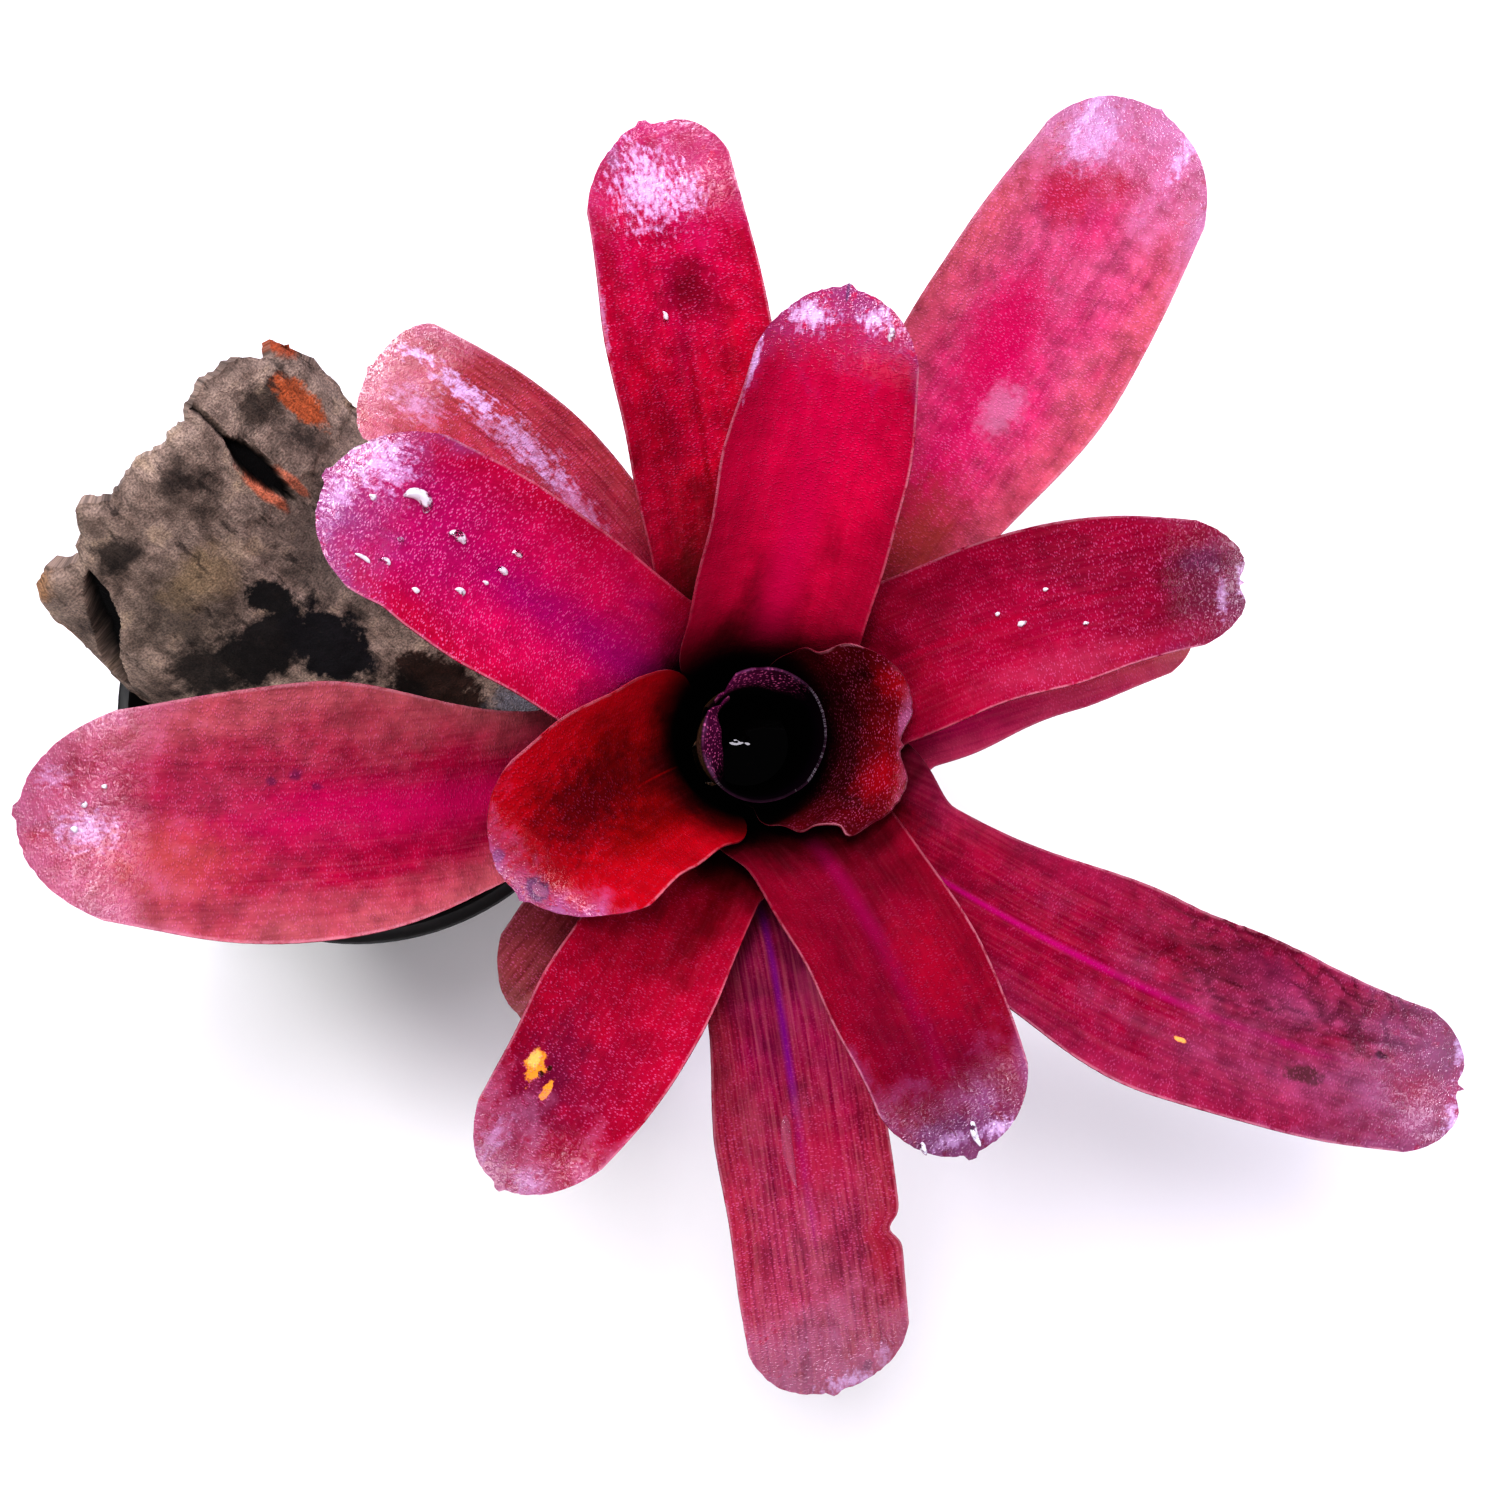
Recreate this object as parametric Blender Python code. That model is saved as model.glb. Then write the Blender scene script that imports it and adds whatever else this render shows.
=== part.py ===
"""Neoregelia bromeliad leaning out of a nursery pot, with a slab of old bark. Metres, +Z up."""
import bpy
import bmesh
import math
from collections import namedtuple
from mathutils import Matrix, Vector, noise

MM = 0.001
GAP = 0.0003  # between pieces that touch

# Nursery pot: the origin is the middle of its base
POT_HEIGHT = 0.095
POT_RIM_RADIUS = 0.070
POT_BASE_RADIUS = 0.043
POT_WALL = 0.0016
POT_FLOOR = 0.0025
POT_LIP_DROP = 0.010
POT_LIP_OUT = 0.0025
POT_FOOT_EDGE = 0.002
POT_RIM_EDGE = 0.001
POT_SIDES = 40
DRAIN_HOLES = 4
DRAIN_RADIUS = 0.005
DRAIN_CIRCLE = 0.028
DRAIN_SIDES = 12

# Potting mix: how high it stands, and how uneven its top is
MIX_TOP = 0.083
MIX_LUMP = 0.0022
MIX_LUMPS_PER_METRE = 60
MIX_RINGS = 5

# Slab of bark: where its middle line leaves the mix, and the way its length and its width run
BARK_FOOT = Vector((0.036, -0.008, 0.083))
BARK_ALONG = Vector((-0.717, 0.520, 0.750)).normalized()
BARK_ACROSS = Vector((0.697, 0.692, 0.187)).normalized()
BARK_CURVE_RADIUS = 0.075
BARK_THICKNESS = 0.0085
BARK_EDGE_SHARE = 0.55
BARK_RELIEF = 0.0022
BARK_LUMPS_ACROSS = 60
BARK_LUMPS_ALONG = 45
BARK_ROWS = 12
# Across the slab from its left edge to its right, in millimetres: place, lower end, broken upper end
BARK_COLUMNS = (
    (-60, 34, 80),
    (-57, 28, 106),
    (-52, 20, 117),
    (-47, 14, 120),
    (-37, 6, 119),
    (-31, 0, 126),
    (-27, -3, 129),
    (-21, -7, 124),
    (-13, -11, 126),
    (-4, -13, 125),
    (6, -14, 125),
    (13, -10, 128),
    (20, -2, 127),
    (26, 6, 126),
    (31, 14, 119),
    (35, 22, 123),
    (38, 30, 108),
)
# Cells of the slab that are open: the slot crack and the gap beside the split flap, as (row, column)
BARK_OPEN = ((9, 10), (10, 10), (10, 3), (9, 3), (9, 2), (8, 2), (8, 1))

# Where the plant stands, by the middle of its cup's lip, and how it leans
CUP_CENTRE = Vector((0.109, -0.040, 0.197))
LEAN_RIGHT = math.radians(11)
LEAN_FRONT = math.radians(10)

# Nested leaf sheaths, measured along the plant's axis from the cup's lip
BULB_CENTRE = -0.045
CORE_RADIUS = 0.0078
LAYER = 0.00175
ROLL_ROOM = 0.0012
ROLL_STEP = 0.0008
FLARE = math.radians(9)
TURN_TOP = -0.012
TURN_STEP = 0.0020
SHEATH_FOOT_SHARE = 0.45
LEAF_THICKNESS = 0.0009

# Shares of a blade's length: where it has left the cup's wall and has its own channel, where it
# is narrowest and widest, and where its end begins to round off
TURN_SHARE = 0.35
CHANNEL_SHARE = 0.30
WAIST_SHARE = 0.25
WIDEST_SHARE = 0.60
END_SHARE = 0.55
WAVES = 7
RAIL_STEPS = 240
LEAF_ROWS = 18
LEAF_COLUMNS = 8
ROLLED_ROWS = 12
ROLLED_COLUMNS = 18

# The stem, as x, y, z and radius: from its hole in the mix and over the pot's rim, and then up the
# plant's axis into the rosette, as height and radius
STEM_ROUTE = (
    (0.0360, -0.0320, 0.0720, 0.0085),
    (0.0375, -0.0330, 0.0830, 0.0085),
    (0.0430, -0.0335, 0.0955, 0.0083),
    (0.0550, -0.0320, 0.1065, 0.0080),
    (0.0710, -0.0290, 0.1115, 0.0076),
    (0.0840, -0.0265, 0.1125, 0.0074),
)
STEM_RADIUS = 0.0055
STEM_CORE = (
    (-0.0860, 0.0071),
    (-0.0825, 0.0066),
    (-0.0800, STEM_RADIUS),
    (-0.0660, STEM_RADIUS),
    (-0.0495, STEM_RADIUS * 0.9),
)
STEM_ROOM = 0.001
STEM_SIDES = 14

# Water that stands in the cup, measured along the plant's axis from the lip
WATER_TOP = -0.020
WATER_BOTTOM = -0.038
WATER_SIDES = 20

Leaf = namedtuple(
    "Leaf",
    "name azimuth wrap length width waist end rise tip_rise sweep channel tip notch thorn wave colour",
)
Station = namedtuple("Station", "s point heading slope curve half v")

# Inner leaf first, each about 137 degrees round from the one before. Angles are in degrees and
# lengths in millimetres; waist and end are the blade's width near its base and near its tip, as
# shares of its width
LEAVES = (
    Leaf("rolled_centre", 315, 188, 14, 90, 1.0, 1.0, 81, 78, 0, 188, 4, 0, 0, 0.0, "inner"),
    Leaf("right_inner", 355, 80, 36, 50, 1.0, 0.90, 62, 42, 0, 62, 14, 5, 0, 0.8, "inner"),
    Leaf("left_inner", 201, 62, 67, 46, 1.0, 0.90, 48, 0, 35, 40, 22, 0, 1, 0.6, "inner"),
    Leaf("top_inner", 84, 52, 105, 43, 0.98, 0.76, 48, 25, -1, 34, 18, 0, 1, 0.4, "inner"),
    Leaf("front_right", 299, 62, 106, 39, 0.95, 0.85, 42, 12, -14, 32, 18, 0, 4, 0.4, "inner"),
    Leaf("left_upper", 153, 64, 113, 43, 0.95, 0.85, 38, 12, 0, 30, 20, 0, 3, 0.4, "inner"),
    Leaf("right", 30, 62, 117, 38, 1.0, 0.68, 34, 8, -31, 30, 16, 3, 0, 0.6, "inner"),
    Leaf("front_left", 244, 60, 111, 38, 0.95, 0.72, 30, 0, -12, 30, 18, 0, 2, 0.6, "inner"),
    Leaf("top", 102, 58, 135, 39, 0.85, 0.85, 28, 5, 2, 28, 18, 0, 3, 0.6, "inner"),
    Leaf("right_long", 320, 56, 181, 44, 0.72, 0.70, 24, 0, 31, 24, 18, 3, 1, 1.5, "outer"),
    Leaf("left_long", 195, 54, 157, 57, 0.60, 0.70, 20, -5, -20, 26, 26, 0, 3, 0.8, "outer"),
    Leaf("top_right", 56, 52, 172, 53, 0.70, 0.80, 18, 0, 4, 22, 26, 0, 0, 0.8, "outer"),
    Leaf("front_long", 276.5, 50, 140, 41, 0.85, 0.90, 14, -10, 3, 22, 18, 0, 1, 0.8, "outer"),
    Leaf("left_back", 125.5, 48, 108, 37, 0.90, 0.85, 12, -5, 28, 22, 10, 0, 0, 0.6, "outer"),
    Leaf("right_under", 17, 46, 104, 30, 1.25, 0.80, 8, -10, 0, 20, 16, 0, 0, 0.6, "outer"),
    Leaf("front_left_under", 233, 44, 55, 36, 0.95, 0.85, 5, -15, 0, 20, 18, 0, 0, 0.6, "outer"),
)

LEAF_COLOURS = {
    "inner": (0.36, 0.005, 0.04),
    "outer": (0.45, 0.07, 0.10),
}


def clear_scene():
    for thing in list(bpy.data.objects):
        bpy.data.objects.remove(thing, do_unlink=True)


def smooth(x):
    """0 below 0, 1 above 1, and an even S between."""
    x = min(1.0, max(0.0, x))
    return x * x * (3 - 2 * x)


def mix(a, b, share):
    return a + (b - a) * share


def plant_frame():
    """The plant's own axes: Z up its axis, X to the right, the origin at the middle of the cup's lip."""
    up = Vector((math.tan(LEAN_RIGHT), -math.tan(LEAN_FRONT), 1)).normalized()
    right = (Vector((1, 0, 0)) - up * up.x).normalized()
    back = up.cross(right)
    turn = Matrix((right, back, up)).transposed().to_4x4()
    return Matrix.Translation(CUP_CENTRE) @ turn


def material(name, colour, roughness, metallic=0.0):
    finish = bpy.data.materials.new(name)
    finish.use_nodes = True
    shader = finish.node_tree.nodes["Principled BSDF"]
    shader.inputs["Base Color"].default_value = (*colour, 1)
    shader.inputs["Roughness"].default_value = roughness
    shader.inputs["Metallic"].default_value = metallic
    return finish


def add_object(name, mesh, finish):
    thing = bpy.data.objects.new(name, mesh)
    mesh.materials.append(finish)
    bpy.context.scene.collection.objects.link(thing)
    mesh.shade_smooth()
    mesh.set_sharp_from_angle(angle=math.radians(45))
    return thing


def finished_mesh(name, bm):
    bmesh.ops.recalc_face_normals(bm, faces=bm.faces)
    mesh = bpy.data.meshes.new(name)
    bm.to_mesh(mesh)
    bm.free()
    return mesh


def ring_angles(sides):
    return [2 * math.pi * i / sides for i in range(sides)]


def skin_rings(bm, rings):
    """Faces from each ring of vertices to the next; a ring of one vertex is a pole."""
    for low, high in zip(rings, rings[1:]):
        sides = max(len(low), len(high))
        for i in range(sides):
            j = (i + 1) % sides
            corners = [low[i % len(low)], low[j % len(low)], high[j % len(high)], high[i % len(high)]]
            bm.faces.new([c for k, c in enumerate(corners) if c not in corners[:k]])


def turned_mesh(name, profile, sides):
    """A closed body turned round +Z from a profile that starts and ends on the axis."""
    bm = bmesh.new()
    rings = []
    for r, z in profile:
        if r == 0:
            rings.append([bm.verts.new((0, 0, z))])
        else:
            rings.append([bm.verts.new((r * math.cos(a), r * math.sin(a), z)) for a in ring_angles(sides)])
    skin_rings(bm, rings)
    return finished_mesh(name, bm)


def skin_sheet(bm, upper, lower, width, cells):
    """Triangles alike on both faces of a thin body, and a rim round every cell with no neighbour."""
    for i, j in sorted(cells):
        a, b = i * width + j, i * width + j + 1
        c, d = b + width, a + width
        for p, q, r in ((a, b, c), (a, c, d)):
            bm.faces.new((upper[p], upper[q], upper[r]))
            bm.faces.new((lower[r], lower[q], lower[p]))
        sides = (((i - 1, j), a, b), ((i, j + 1), b, c), ((i + 1, j), c, d), ((i, j - 1), d, a))
        for neighbour, p, q in sides:
            if neighbour not in cells:
                bm.faces.new((upper[q], upper[p], lower[p]))
                bm.faces.new((upper[q], lower[p], lower[q]))


def cut(thing, cutter):
    """Take the cutter's shape out of the thing for good, and remove the cutter."""
    tool = thing.modifiers.new("cut", "BOOLEAN")
    tool.operation = "DIFFERENCE"
    tool.object = cutter
    depsgraph = bpy.context.evaluated_depsgraph_get()
    finished = bpy.data.meshes.new_from_object(thing.evaluated_get(depsgraph))
    thing.modifiers.clear()
    thing.data = finished
    bpy.data.objects.remove(cutter, do_unlink=True)


def in_metres(leaf):
    return leaf._replace(
        length=leaf.length * MM,
        width=leaf.width * MM,
        tip=leaf.tip * MM,
        notch=leaf.notch * MM,
        thorn=leaf.thorn * MM,
        wave=leaf.wave * MM,
    )


def direction(heading, slope):
    flat = math.cos(slope)
    return Vector((flat * math.cos(heading), flat * math.sin(heading), math.sin(slope)))


def blade_half_width(leaf, sheath_half, v):
    """Half the blade's width at share v of its length."""
    full = leaf.width / 2
    half = mix(sheath_half, full * leaf.waist, smooth(v / WAIST_SHARE))
    half = mix(half, full, smooth((v - WAIST_SHARE) / (WIDEST_SHARE - WAIST_SHARE)))
    return mix(half, full * leaf.end, smooth((v - WIDEST_SHARE) / (1 - WIDEST_SHARE)))


def leaf_rail(leaf, order):
    """The leaf's midline as stations: round the bulb, up the cup's wall and out along the blade."""
    radius = CORE_RADIUS + LAYER * order + (ROLL_ROOM if order else 0)
    foot_slope = math.asin((STEM_RADIUS + STEM_ROOM) / radius)
    wall_slope = math.pi / 2 - FLARE
    bulb = radius * (wall_slope - foot_slope)
    wall = (TURN_TOP - TURN_STEP * order - BULB_CENTRE - radius * math.sin(FLARE)) / math.cos(FLARE)
    wall = max(wall, 0.0)
    step = (bulb + wall + leaf.length) / RAIL_STEPS
    azimuth = math.radians(leaf.azimuth)
    reach = radius * math.sin(foot_slope)
    drop = radius * math.cos(foot_slope)
    point = Vector((reach * math.cos(azimuth), reach * math.sin(azimuth), BULB_CENTRE - drop))
    blade_curve = math.radians(leaf.channel) / (leaf.width / 2)
    stations = []
    for i in range(RAIL_STEPS + 1):
        s = i * step
        v = max(0.0, (s - bulb - wall) / leaf.length)
        slope = min(wall_slope, foot_slope + s / radius)
        if v > 0:
            slope = mix(wall_slope, math.radians(leaf.rise), smooth(v / TURN_SHARE))
            slope += math.radians(leaf.tip_rise - leaf.rise) * v ** 1.5
        heading = azimuth + math.radians(leaf.sweep) * v ** 1.3
        sheath_curve = math.sin(max(slope, foot_slope)) / math.hypot(point.x, point.y)
        curve = sheath_curve
        half = math.radians(leaf.wrap) / sheath_curve
        if order:
            half *= mix(SHEATH_FOOT_SHARE, 1.0, smooth(s / bulb))
            curve = mix(sheath_curve, blade_curve, smooth(v / CHANNEL_SHARE))
            curve = mix(curve, blade_curve / 2, smooth((v - 0.5) / 0.5))
            half = blade_half_width(leaf, half, v) if v > 0 else half
        stations.append(Station(s, point.copy(), heading, slope, curve, half, v))
        point += direction(heading, slope) * step
    return stations


def rail_at(stations, s):
    """The station at arc length s, read between the two nearest ones."""
    last = len(stations) - 1
    place = min(max(s / stations[1].s, 0.0), last)
    i = min(int(place), last - 1)
    return Station(*(mix(a, b, place - i) for a, b in zip(stations[i], stations[i + 1])))


def leaf_point(leaf, stations, s, u):
    """Point and surface normal of the leaf's middle sheet, at arc length s and u from -1 to 1 across."""
    at = rail_at(stations, s)
    side = Vector((-math.sin(at.heading), math.cos(at.heading), 0))
    normal = direction(at.heading, at.slope).cross(side)
    angle = u * at.half * at.curve
    bend = 1 / at.curve
    spot = at.point + side * (math.sin(angle) * bend) + normal * ((1 - math.cos(angle)) * bend)
    facing = normal * math.cos(angle) - side * math.sin(angle)
    if leaf.channel > 180:
        return spot - facing * (ROLL_STEP * u), facing
    wave = leaf.wave * u * u * math.sin(WAVES * math.pi * at.v + leaf.azimuth + u)
    return spot + facing * (wave * smooth(at.v / CHANNEL_SHARE)), facing


def leaf_end(leaf, u):
    """How far short of the leaf's full length the end falls at u: a round tip, its notch and its thorn."""
    short = leaf.tip * (1 - math.sqrt(1 - (0.97 * u) ** 2))
    short += leaf.notch * math.exp(-(u / 0.25) ** 2)
    return short - leaf.thorn * math.exp(-(u / 0.12) ** 2)


def leaf_mesh(name, leaf, order):
    rows, columns = (LEAF_ROWS, LEAF_COLUMNS) if order else (ROLLED_ROWS, ROLLED_COLUMNS)
    stations = leaf_rail(leaf, order)
    bm = bmesh.new()
    upper, lower = [], []
    for i in range(rows + 1):
        share = i / rows
        for j in range(columns + 1):
            u = j / columns * 2 - 1
            if order:
                u = math.sin(u * math.pi / 2)
            s = stations[-1].s * share - leaf_end(leaf, u) * smooth((share - END_SHARE) / (1 - END_SHARE))
            spot, normal = leaf_point(leaf, stations, s, u)
            upper.append(bm.verts.new(spot + normal * (LEAF_THICKNESS / 2)))
            lower.append(bm.verts.new(spot - normal * (LEAF_THICKNESS / 2)))
    cells = {(i, j) for i in range(rows) for j in range(columns)}
    skin_sheet(bm, upper, lower, columns + 1, cells)
    return finished_mesh(name, bm)


def make_leaves():
    frame = plant_frame()
    for order, leaf in enumerate(LEAVES):
        name = f"leaf_{order + 1:02d}_{leaf.name}"
        mesh = leaf_mesh(name, in_metres(leaf), order)
        mesh.transform(frame)
        add_object(name, mesh, material(name + "_skin", LEAF_COLOURS[leaf.colour], 0.35))


def pot_wall_radius(z):
    """Outer radius of the pot's wall at height z."""
    return mix(POT_BASE_RADIUS, POT_RIM_RADIUS - POT_LIP_OUT, z / POT_HEIGHT)


def make_pot():
    lip_z = POT_HEIGHT - POT_LIP_DROP
    profile = [
        (0, 0),
        (POT_BASE_RADIUS - POT_FOOT_EDGE, 0),
        (POT_BASE_RADIUS, POT_FOOT_EDGE),
        (pot_wall_radius(lip_z), lip_z),
        (pot_wall_radius(lip_z) + POT_LIP_OUT, lip_z + POT_RIM_EDGE),
        (POT_RIM_RADIUS, POT_HEIGHT - POT_RIM_EDGE),
        (POT_RIM_RADIUS - POT_RIM_EDGE, POT_HEIGHT),
        (POT_RIM_RADIUS - POT_LIP_OUT - POT_WALL, POT_HEIGHT),
        (pot_wall_radius(POT_FLOOR) - POT_WALL, POT_FLOOR),
        (0, POT_FLOOR),
    ]
    plastic = material("pot_plastic", (0.012, 0.012, 0.013), 0.45)
    pot = add_object("pot", turned_mesh("pot", profile, POT_SIDES), plastic)
    reach = 2 * POT_FLOOR
    for i in range(DRAIN_HOLES):
        around = Matrix.Rotation(2 * math.pi * (i + 0.5) / DRAIN_HOLES, 4, "Z")
        drill = turned_mesh("drain", [(0, -reach), (DRAIN_RADIUS, -reach), (DRAIN_RADIUS, reach), (0, reach)],
                            DRAIN_SIDES)
        drill.transform(around @ Matrix.Translation((DRAIN_CIRCLE, 0, 0)))
        cut(pot, add_object("drain", drill, plastic))


def mix_point(r, angle):
    """A point of the potting mix's uneven top."""
    spot = Vector((r * math.cos(angle), r * math.sin(angle), 0))
    return spot + Vector((0, 0, MIX_TOP + MIX_LUMP * noise.noise(spot * MIX_LUMPS_PER_METRE)))


def make_mix():
    """The mix fills the pot to its top, with a plain hole for the stem and one for the bark."""
    bm = bmesh.new()
    floor = POT_FLOOR + GAP
    foot = pot_wall_radius(floor) - POT_WALL - 2 * GAP
    brim = pot_wall_radius(MIX_TOP) - POT_WALL - 2 * GAP
    angles = ring_angles(POT_SIDES)
    rings = [[bm.verts.new((0, 0, floor))]]
    rings.append([bm.verts.new((foot * math.cos(a), foot * math.sin(a), floor)) for a in angles])
    for k in range(MIX_RINGS, 0, -1):
        rings.append([bm.verts.new(mix_point(brim * k / MIX_RINGS, a)) for a in angles])
    rings.append([bm.verts.new(mix_point(0, 0))])
    skin_rings(bm, rings)
    soil = material("potting_mix", (0.035, 0.022, 0.015), 0.95)
    bed = add_object("potting_mix", finished_mesh("potting_mix", bm), soil)
    cut(bed, add_object("stem_hole", stem_mesh("stem_hole", GAP), soil))
    cut(bed, add_object("bark_hole", bark_mesh("bark_hole", GAP), soil))


def bark_point(x, a):
    """Middle of the slab at x across and a along, with its outward way; the slab was part of a round log."""
    angle = math.asin(x / BARK_CURVE_RADIUS)
    out = BARK_ALONG.cross(BARK_ACROSS).normalized()
    if out.z < 0:
        out = -out
    sunk = BARK_CURVE_RADIUS * (1 - math.cos(angle))
    spot = BARK_FOOT + BARK_ALONG * a + BARK_ACROSS * x - out * sunk
    return spot, out * math.cos(angle) + BARK_ACROSS * math.sin(angle)


def bark_mesh(name, grow):
    """The slab as one closed body, or with grow, the plain hole that it stands in."""
    bm = bmesh.new()
    upper, lower = [], []
    last = len(BARK_COLUMNS) - 1
    for i in range(BARK_ROWS + 1):
        for j, (place, low, high) in enumerate(BARK_COLUMNS):
            x = place * MM + (math.copysign(grow, place) if j in (0, last) else 0.0)
            a = mix(low * MM - grow, high * MM + grow, i / BARK_ROWS)
            spot, facing = bark_point(x, a)
            lump = BARK_RELIEF * noise.noise(Vector((x * BARK_LUMPS_ACROSS, a * BARK_LUMPS_ALONG, 3)))
            half = BARK_THICKNESS / 2
            if j in (0, last) or i == BARK_ROWS:
                half *= BARK_EDGE_SHARE
            upper.append(bm.verts.new(spot + facing * (lump + half + grow)))
            lower.append(bm.verts.new(spot + facing * (lump - half - grow)))
    cells = {(i, j) for i in range(BARK_ROWS) for j in range(last)}
    if not grow:
        cells -= set(BARK_OPEN)
    skin_sheet(bm, upper, lower, last + 1, cells)
    return finished_mesh(name, bm)


def make_bark():
    add_object("bark", bark_mesh("bark", 0.0), material("old_bark", (0.16, 0.12, 0.09), 0.9))


def stem_mesh(name, grow):
    """The stem as one closed tube, or with grow, the plain hole that it stands in."""
    frame = plant_frame()
    spots = [(Vector((x, y, z)), radius) for x, y, z, radius in STEM_ROUTE]
    spots += [(frame @ Vector((0, 0, z)), radius) for z, radius in STEM_CORE]
    spots[0][0].z -= grow
    bm = bmesh.new()
    rings = [[bm.verts.new(spots[0][0])]]
    side = Vector((0, 1, 0))
    for k, (spot, radius) in enumerate(spots):
        before = spots[max(k - 1, 0)][0]
        after = spots[min(k + 1, len(spots) - 1)][0]
        along = (after - before).normalized()
        side = (side - along * side.dot(along)).normalized()
        over = along.cross(side)
        rings.append([bm.verts.new(spot + (side * math.cos(a) + over * math.sin(a)) * (radius + grow))
                      for a in ring_angles(STEM_SIDES)])
    rings.append([bm.verts.new(spots[-1][0])])
    skin_rings(bm, rings)
    return finished_mesh(name, bm)


def make_stem():
    add_object("stem", stem_mesh("stem", 0.0), material("woody_stem", (0.10, 0.06, 0.035), 0.8))


def make_water():
    """The little water in the rolled leaf, clear of its wall."""
    clear = LEAF_THICKNESS / 2 + ROLL_STEP + 3 * GAP
    top = CORE_RADIUS + (WATER_TOP - BULB_CENTRE) * math.tan(FLARE) - clear
    bottom = CORE_RADIUS + (WATER_BOTTOM - BULB_CENTRE) * math.tan(FLARE) - clear
    profile = [(0, WATER_BOTTOM), (bottom, WATER_BOTTOM), (top, WATER_TOP), (0, WATER_TOP)]
    mesh = turned_mesh("cup_water", profile, WATER_SIDES)
    mesh.transform(plant_frame())
    add_object("cup_water", mesh, material("water", (0.02, 0.02, 0.02), 0.05))


clear_scene()
make_pot()
make_mix()
make_bark()
make_stem()
make_leaves()
make_water()
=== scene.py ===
import bpy
import math
import random
from collections import namedtuple
from functools import partial
from mathutils import Matrix, Vector, noise


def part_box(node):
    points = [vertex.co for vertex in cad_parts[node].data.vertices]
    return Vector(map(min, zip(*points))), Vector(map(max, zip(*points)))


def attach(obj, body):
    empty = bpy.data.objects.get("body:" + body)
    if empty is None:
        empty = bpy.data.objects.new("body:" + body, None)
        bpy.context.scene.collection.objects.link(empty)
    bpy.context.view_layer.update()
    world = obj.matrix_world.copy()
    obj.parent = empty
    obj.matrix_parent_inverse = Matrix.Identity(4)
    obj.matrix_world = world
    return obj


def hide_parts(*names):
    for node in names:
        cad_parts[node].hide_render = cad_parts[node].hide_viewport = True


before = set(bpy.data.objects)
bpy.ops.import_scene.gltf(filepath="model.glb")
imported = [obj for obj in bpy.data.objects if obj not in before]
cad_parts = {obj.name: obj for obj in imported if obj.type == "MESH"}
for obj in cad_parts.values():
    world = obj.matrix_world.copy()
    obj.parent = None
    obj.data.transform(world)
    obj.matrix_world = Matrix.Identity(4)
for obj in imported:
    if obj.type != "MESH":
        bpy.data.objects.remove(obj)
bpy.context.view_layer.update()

MM = 0.001

# The room: a plain pale floor under soft lamps, the strongest at the upper left and overhead, with
# daylight that is brightest low down all round, so that the leaf tips that bend over catch it. The
# camera looks down on the cup from 75 degrees, as in the photograph.
bpy.ops.object.select_all(action="DESELECT")
CUP_CENTRE = Vector((0.109, -0.040, 0.197))
VIEW_ELEVATION = math.radians(75)
VIEW_DISTANCE = 0.47
FRAME_PIXELS = 1512
FOCAL_PIXELS = 2077
CUP_PIXEL = Vector((760, 735))
SENSOR = 36.0


def linear(code):
    """A colour written as sRGB hex, as the linear values that a shader takes."""
    parts = [int(code[i:i + 2], 16) / 255 for i in (1, 3, 5)]
    return (*[c / 12.92 if c <= 0.04045 else ((c + 0.055) / 1.055) ** 2.4 for c in parts], 1.0)


def set_inputs(made, inputs):
    """Gives a node's sockets a value, a colour in sRGB hex or another node's output each."""
    for key, value in inputs.items():
        if isinstance(value, bpy.types.NodeSocket):
            made.id_data.links.new(value, made.inputs[key])
        else:
            made.inputs[key].default_value = linear(value) if isinstance(value, str) else value


def add_node(tree, kind, inputs, way=None, give=None, stops=(), **settings):
    """Adds a node and returns one of its outputs, the first in use unless give names it.

    Inputs are named, or stand in the order of the node's sockets: a colour Mix takes its share and two
    colours, and a MapRange its value, the range it comes from and the range it goes to. Way is the
    operation or the blend, and stops fill a ramp with sRGB hex colours.
    """
    made = tree.nodes.new("ShaderNode" + kind)
    sockets = range(5)
    if kind == "Mix":
        made.data_type = "RGBA"
        sockets = (0, 6, 7)
    if way:
        setattr(made, "blend_type" if kind == "Mix" else "operation", way)
    for key, value in settings.items():
        setattr(made, key, value)
    set_inputs(made, inputs if isinstance(inputs, dict) else dict(zip(sockets, inputs)))
    for count, (place, colour) in enumerate(stops):
        ramp = made.color_ramp.elements
        element = ramp[count] if count < len(ramp) else ramp.new(1)
        element.position = place
        element.color = linear(colour)
    return made.outputs[give] if give else next(output for output in made.outputs if output.enabled)


def new_finish(name):
    """A new material, what adds a node to it, and its surface shader."""
    made = bpy.data.materials.new(name)
    made.use_nodes = True
    return made, partial(add_node, made.node_tree), made.node_tree.nodes["Principled BSDF"]


view_back = Vector((0, -math.cos(VIEW_ELEVATION), math.sin(VIEW_ELEVATION)))
view_up = Vector((0, math.sin(VIEW_ELEVATION), math.cos(VIEW_ELEVATION)))
aim_off = (CUP_PIXEL - Vector((FRAME_PIXELS, FRAME_PIXELS)) / 2) * (VIEW_DISTANCE / FOCAL_PIXELS)
bpy.ops.object.camera_add(rotation=(math.pi / 2 - VIEW_ELEVATION, 0, 0))
camera = bpy.context.object
camera.location = CUP_CENTRE + view_back * VIEW_DISTANCE - Vector((aim_off.x, 0, 0)) + view_up * aim_off.y
camera.data.sensor_width = SENSOR
camera.data.lens = SENSOR * FOCAL_PIXELS / FRAME_PIXELS
camera.data.dof.use_dof = False
bpy.context.scene.camera = camera
bpy.context.scene.view_settings.view_transform = "Standard"
bpy.context.scene.view_settings.look = "High Contrast"

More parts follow.
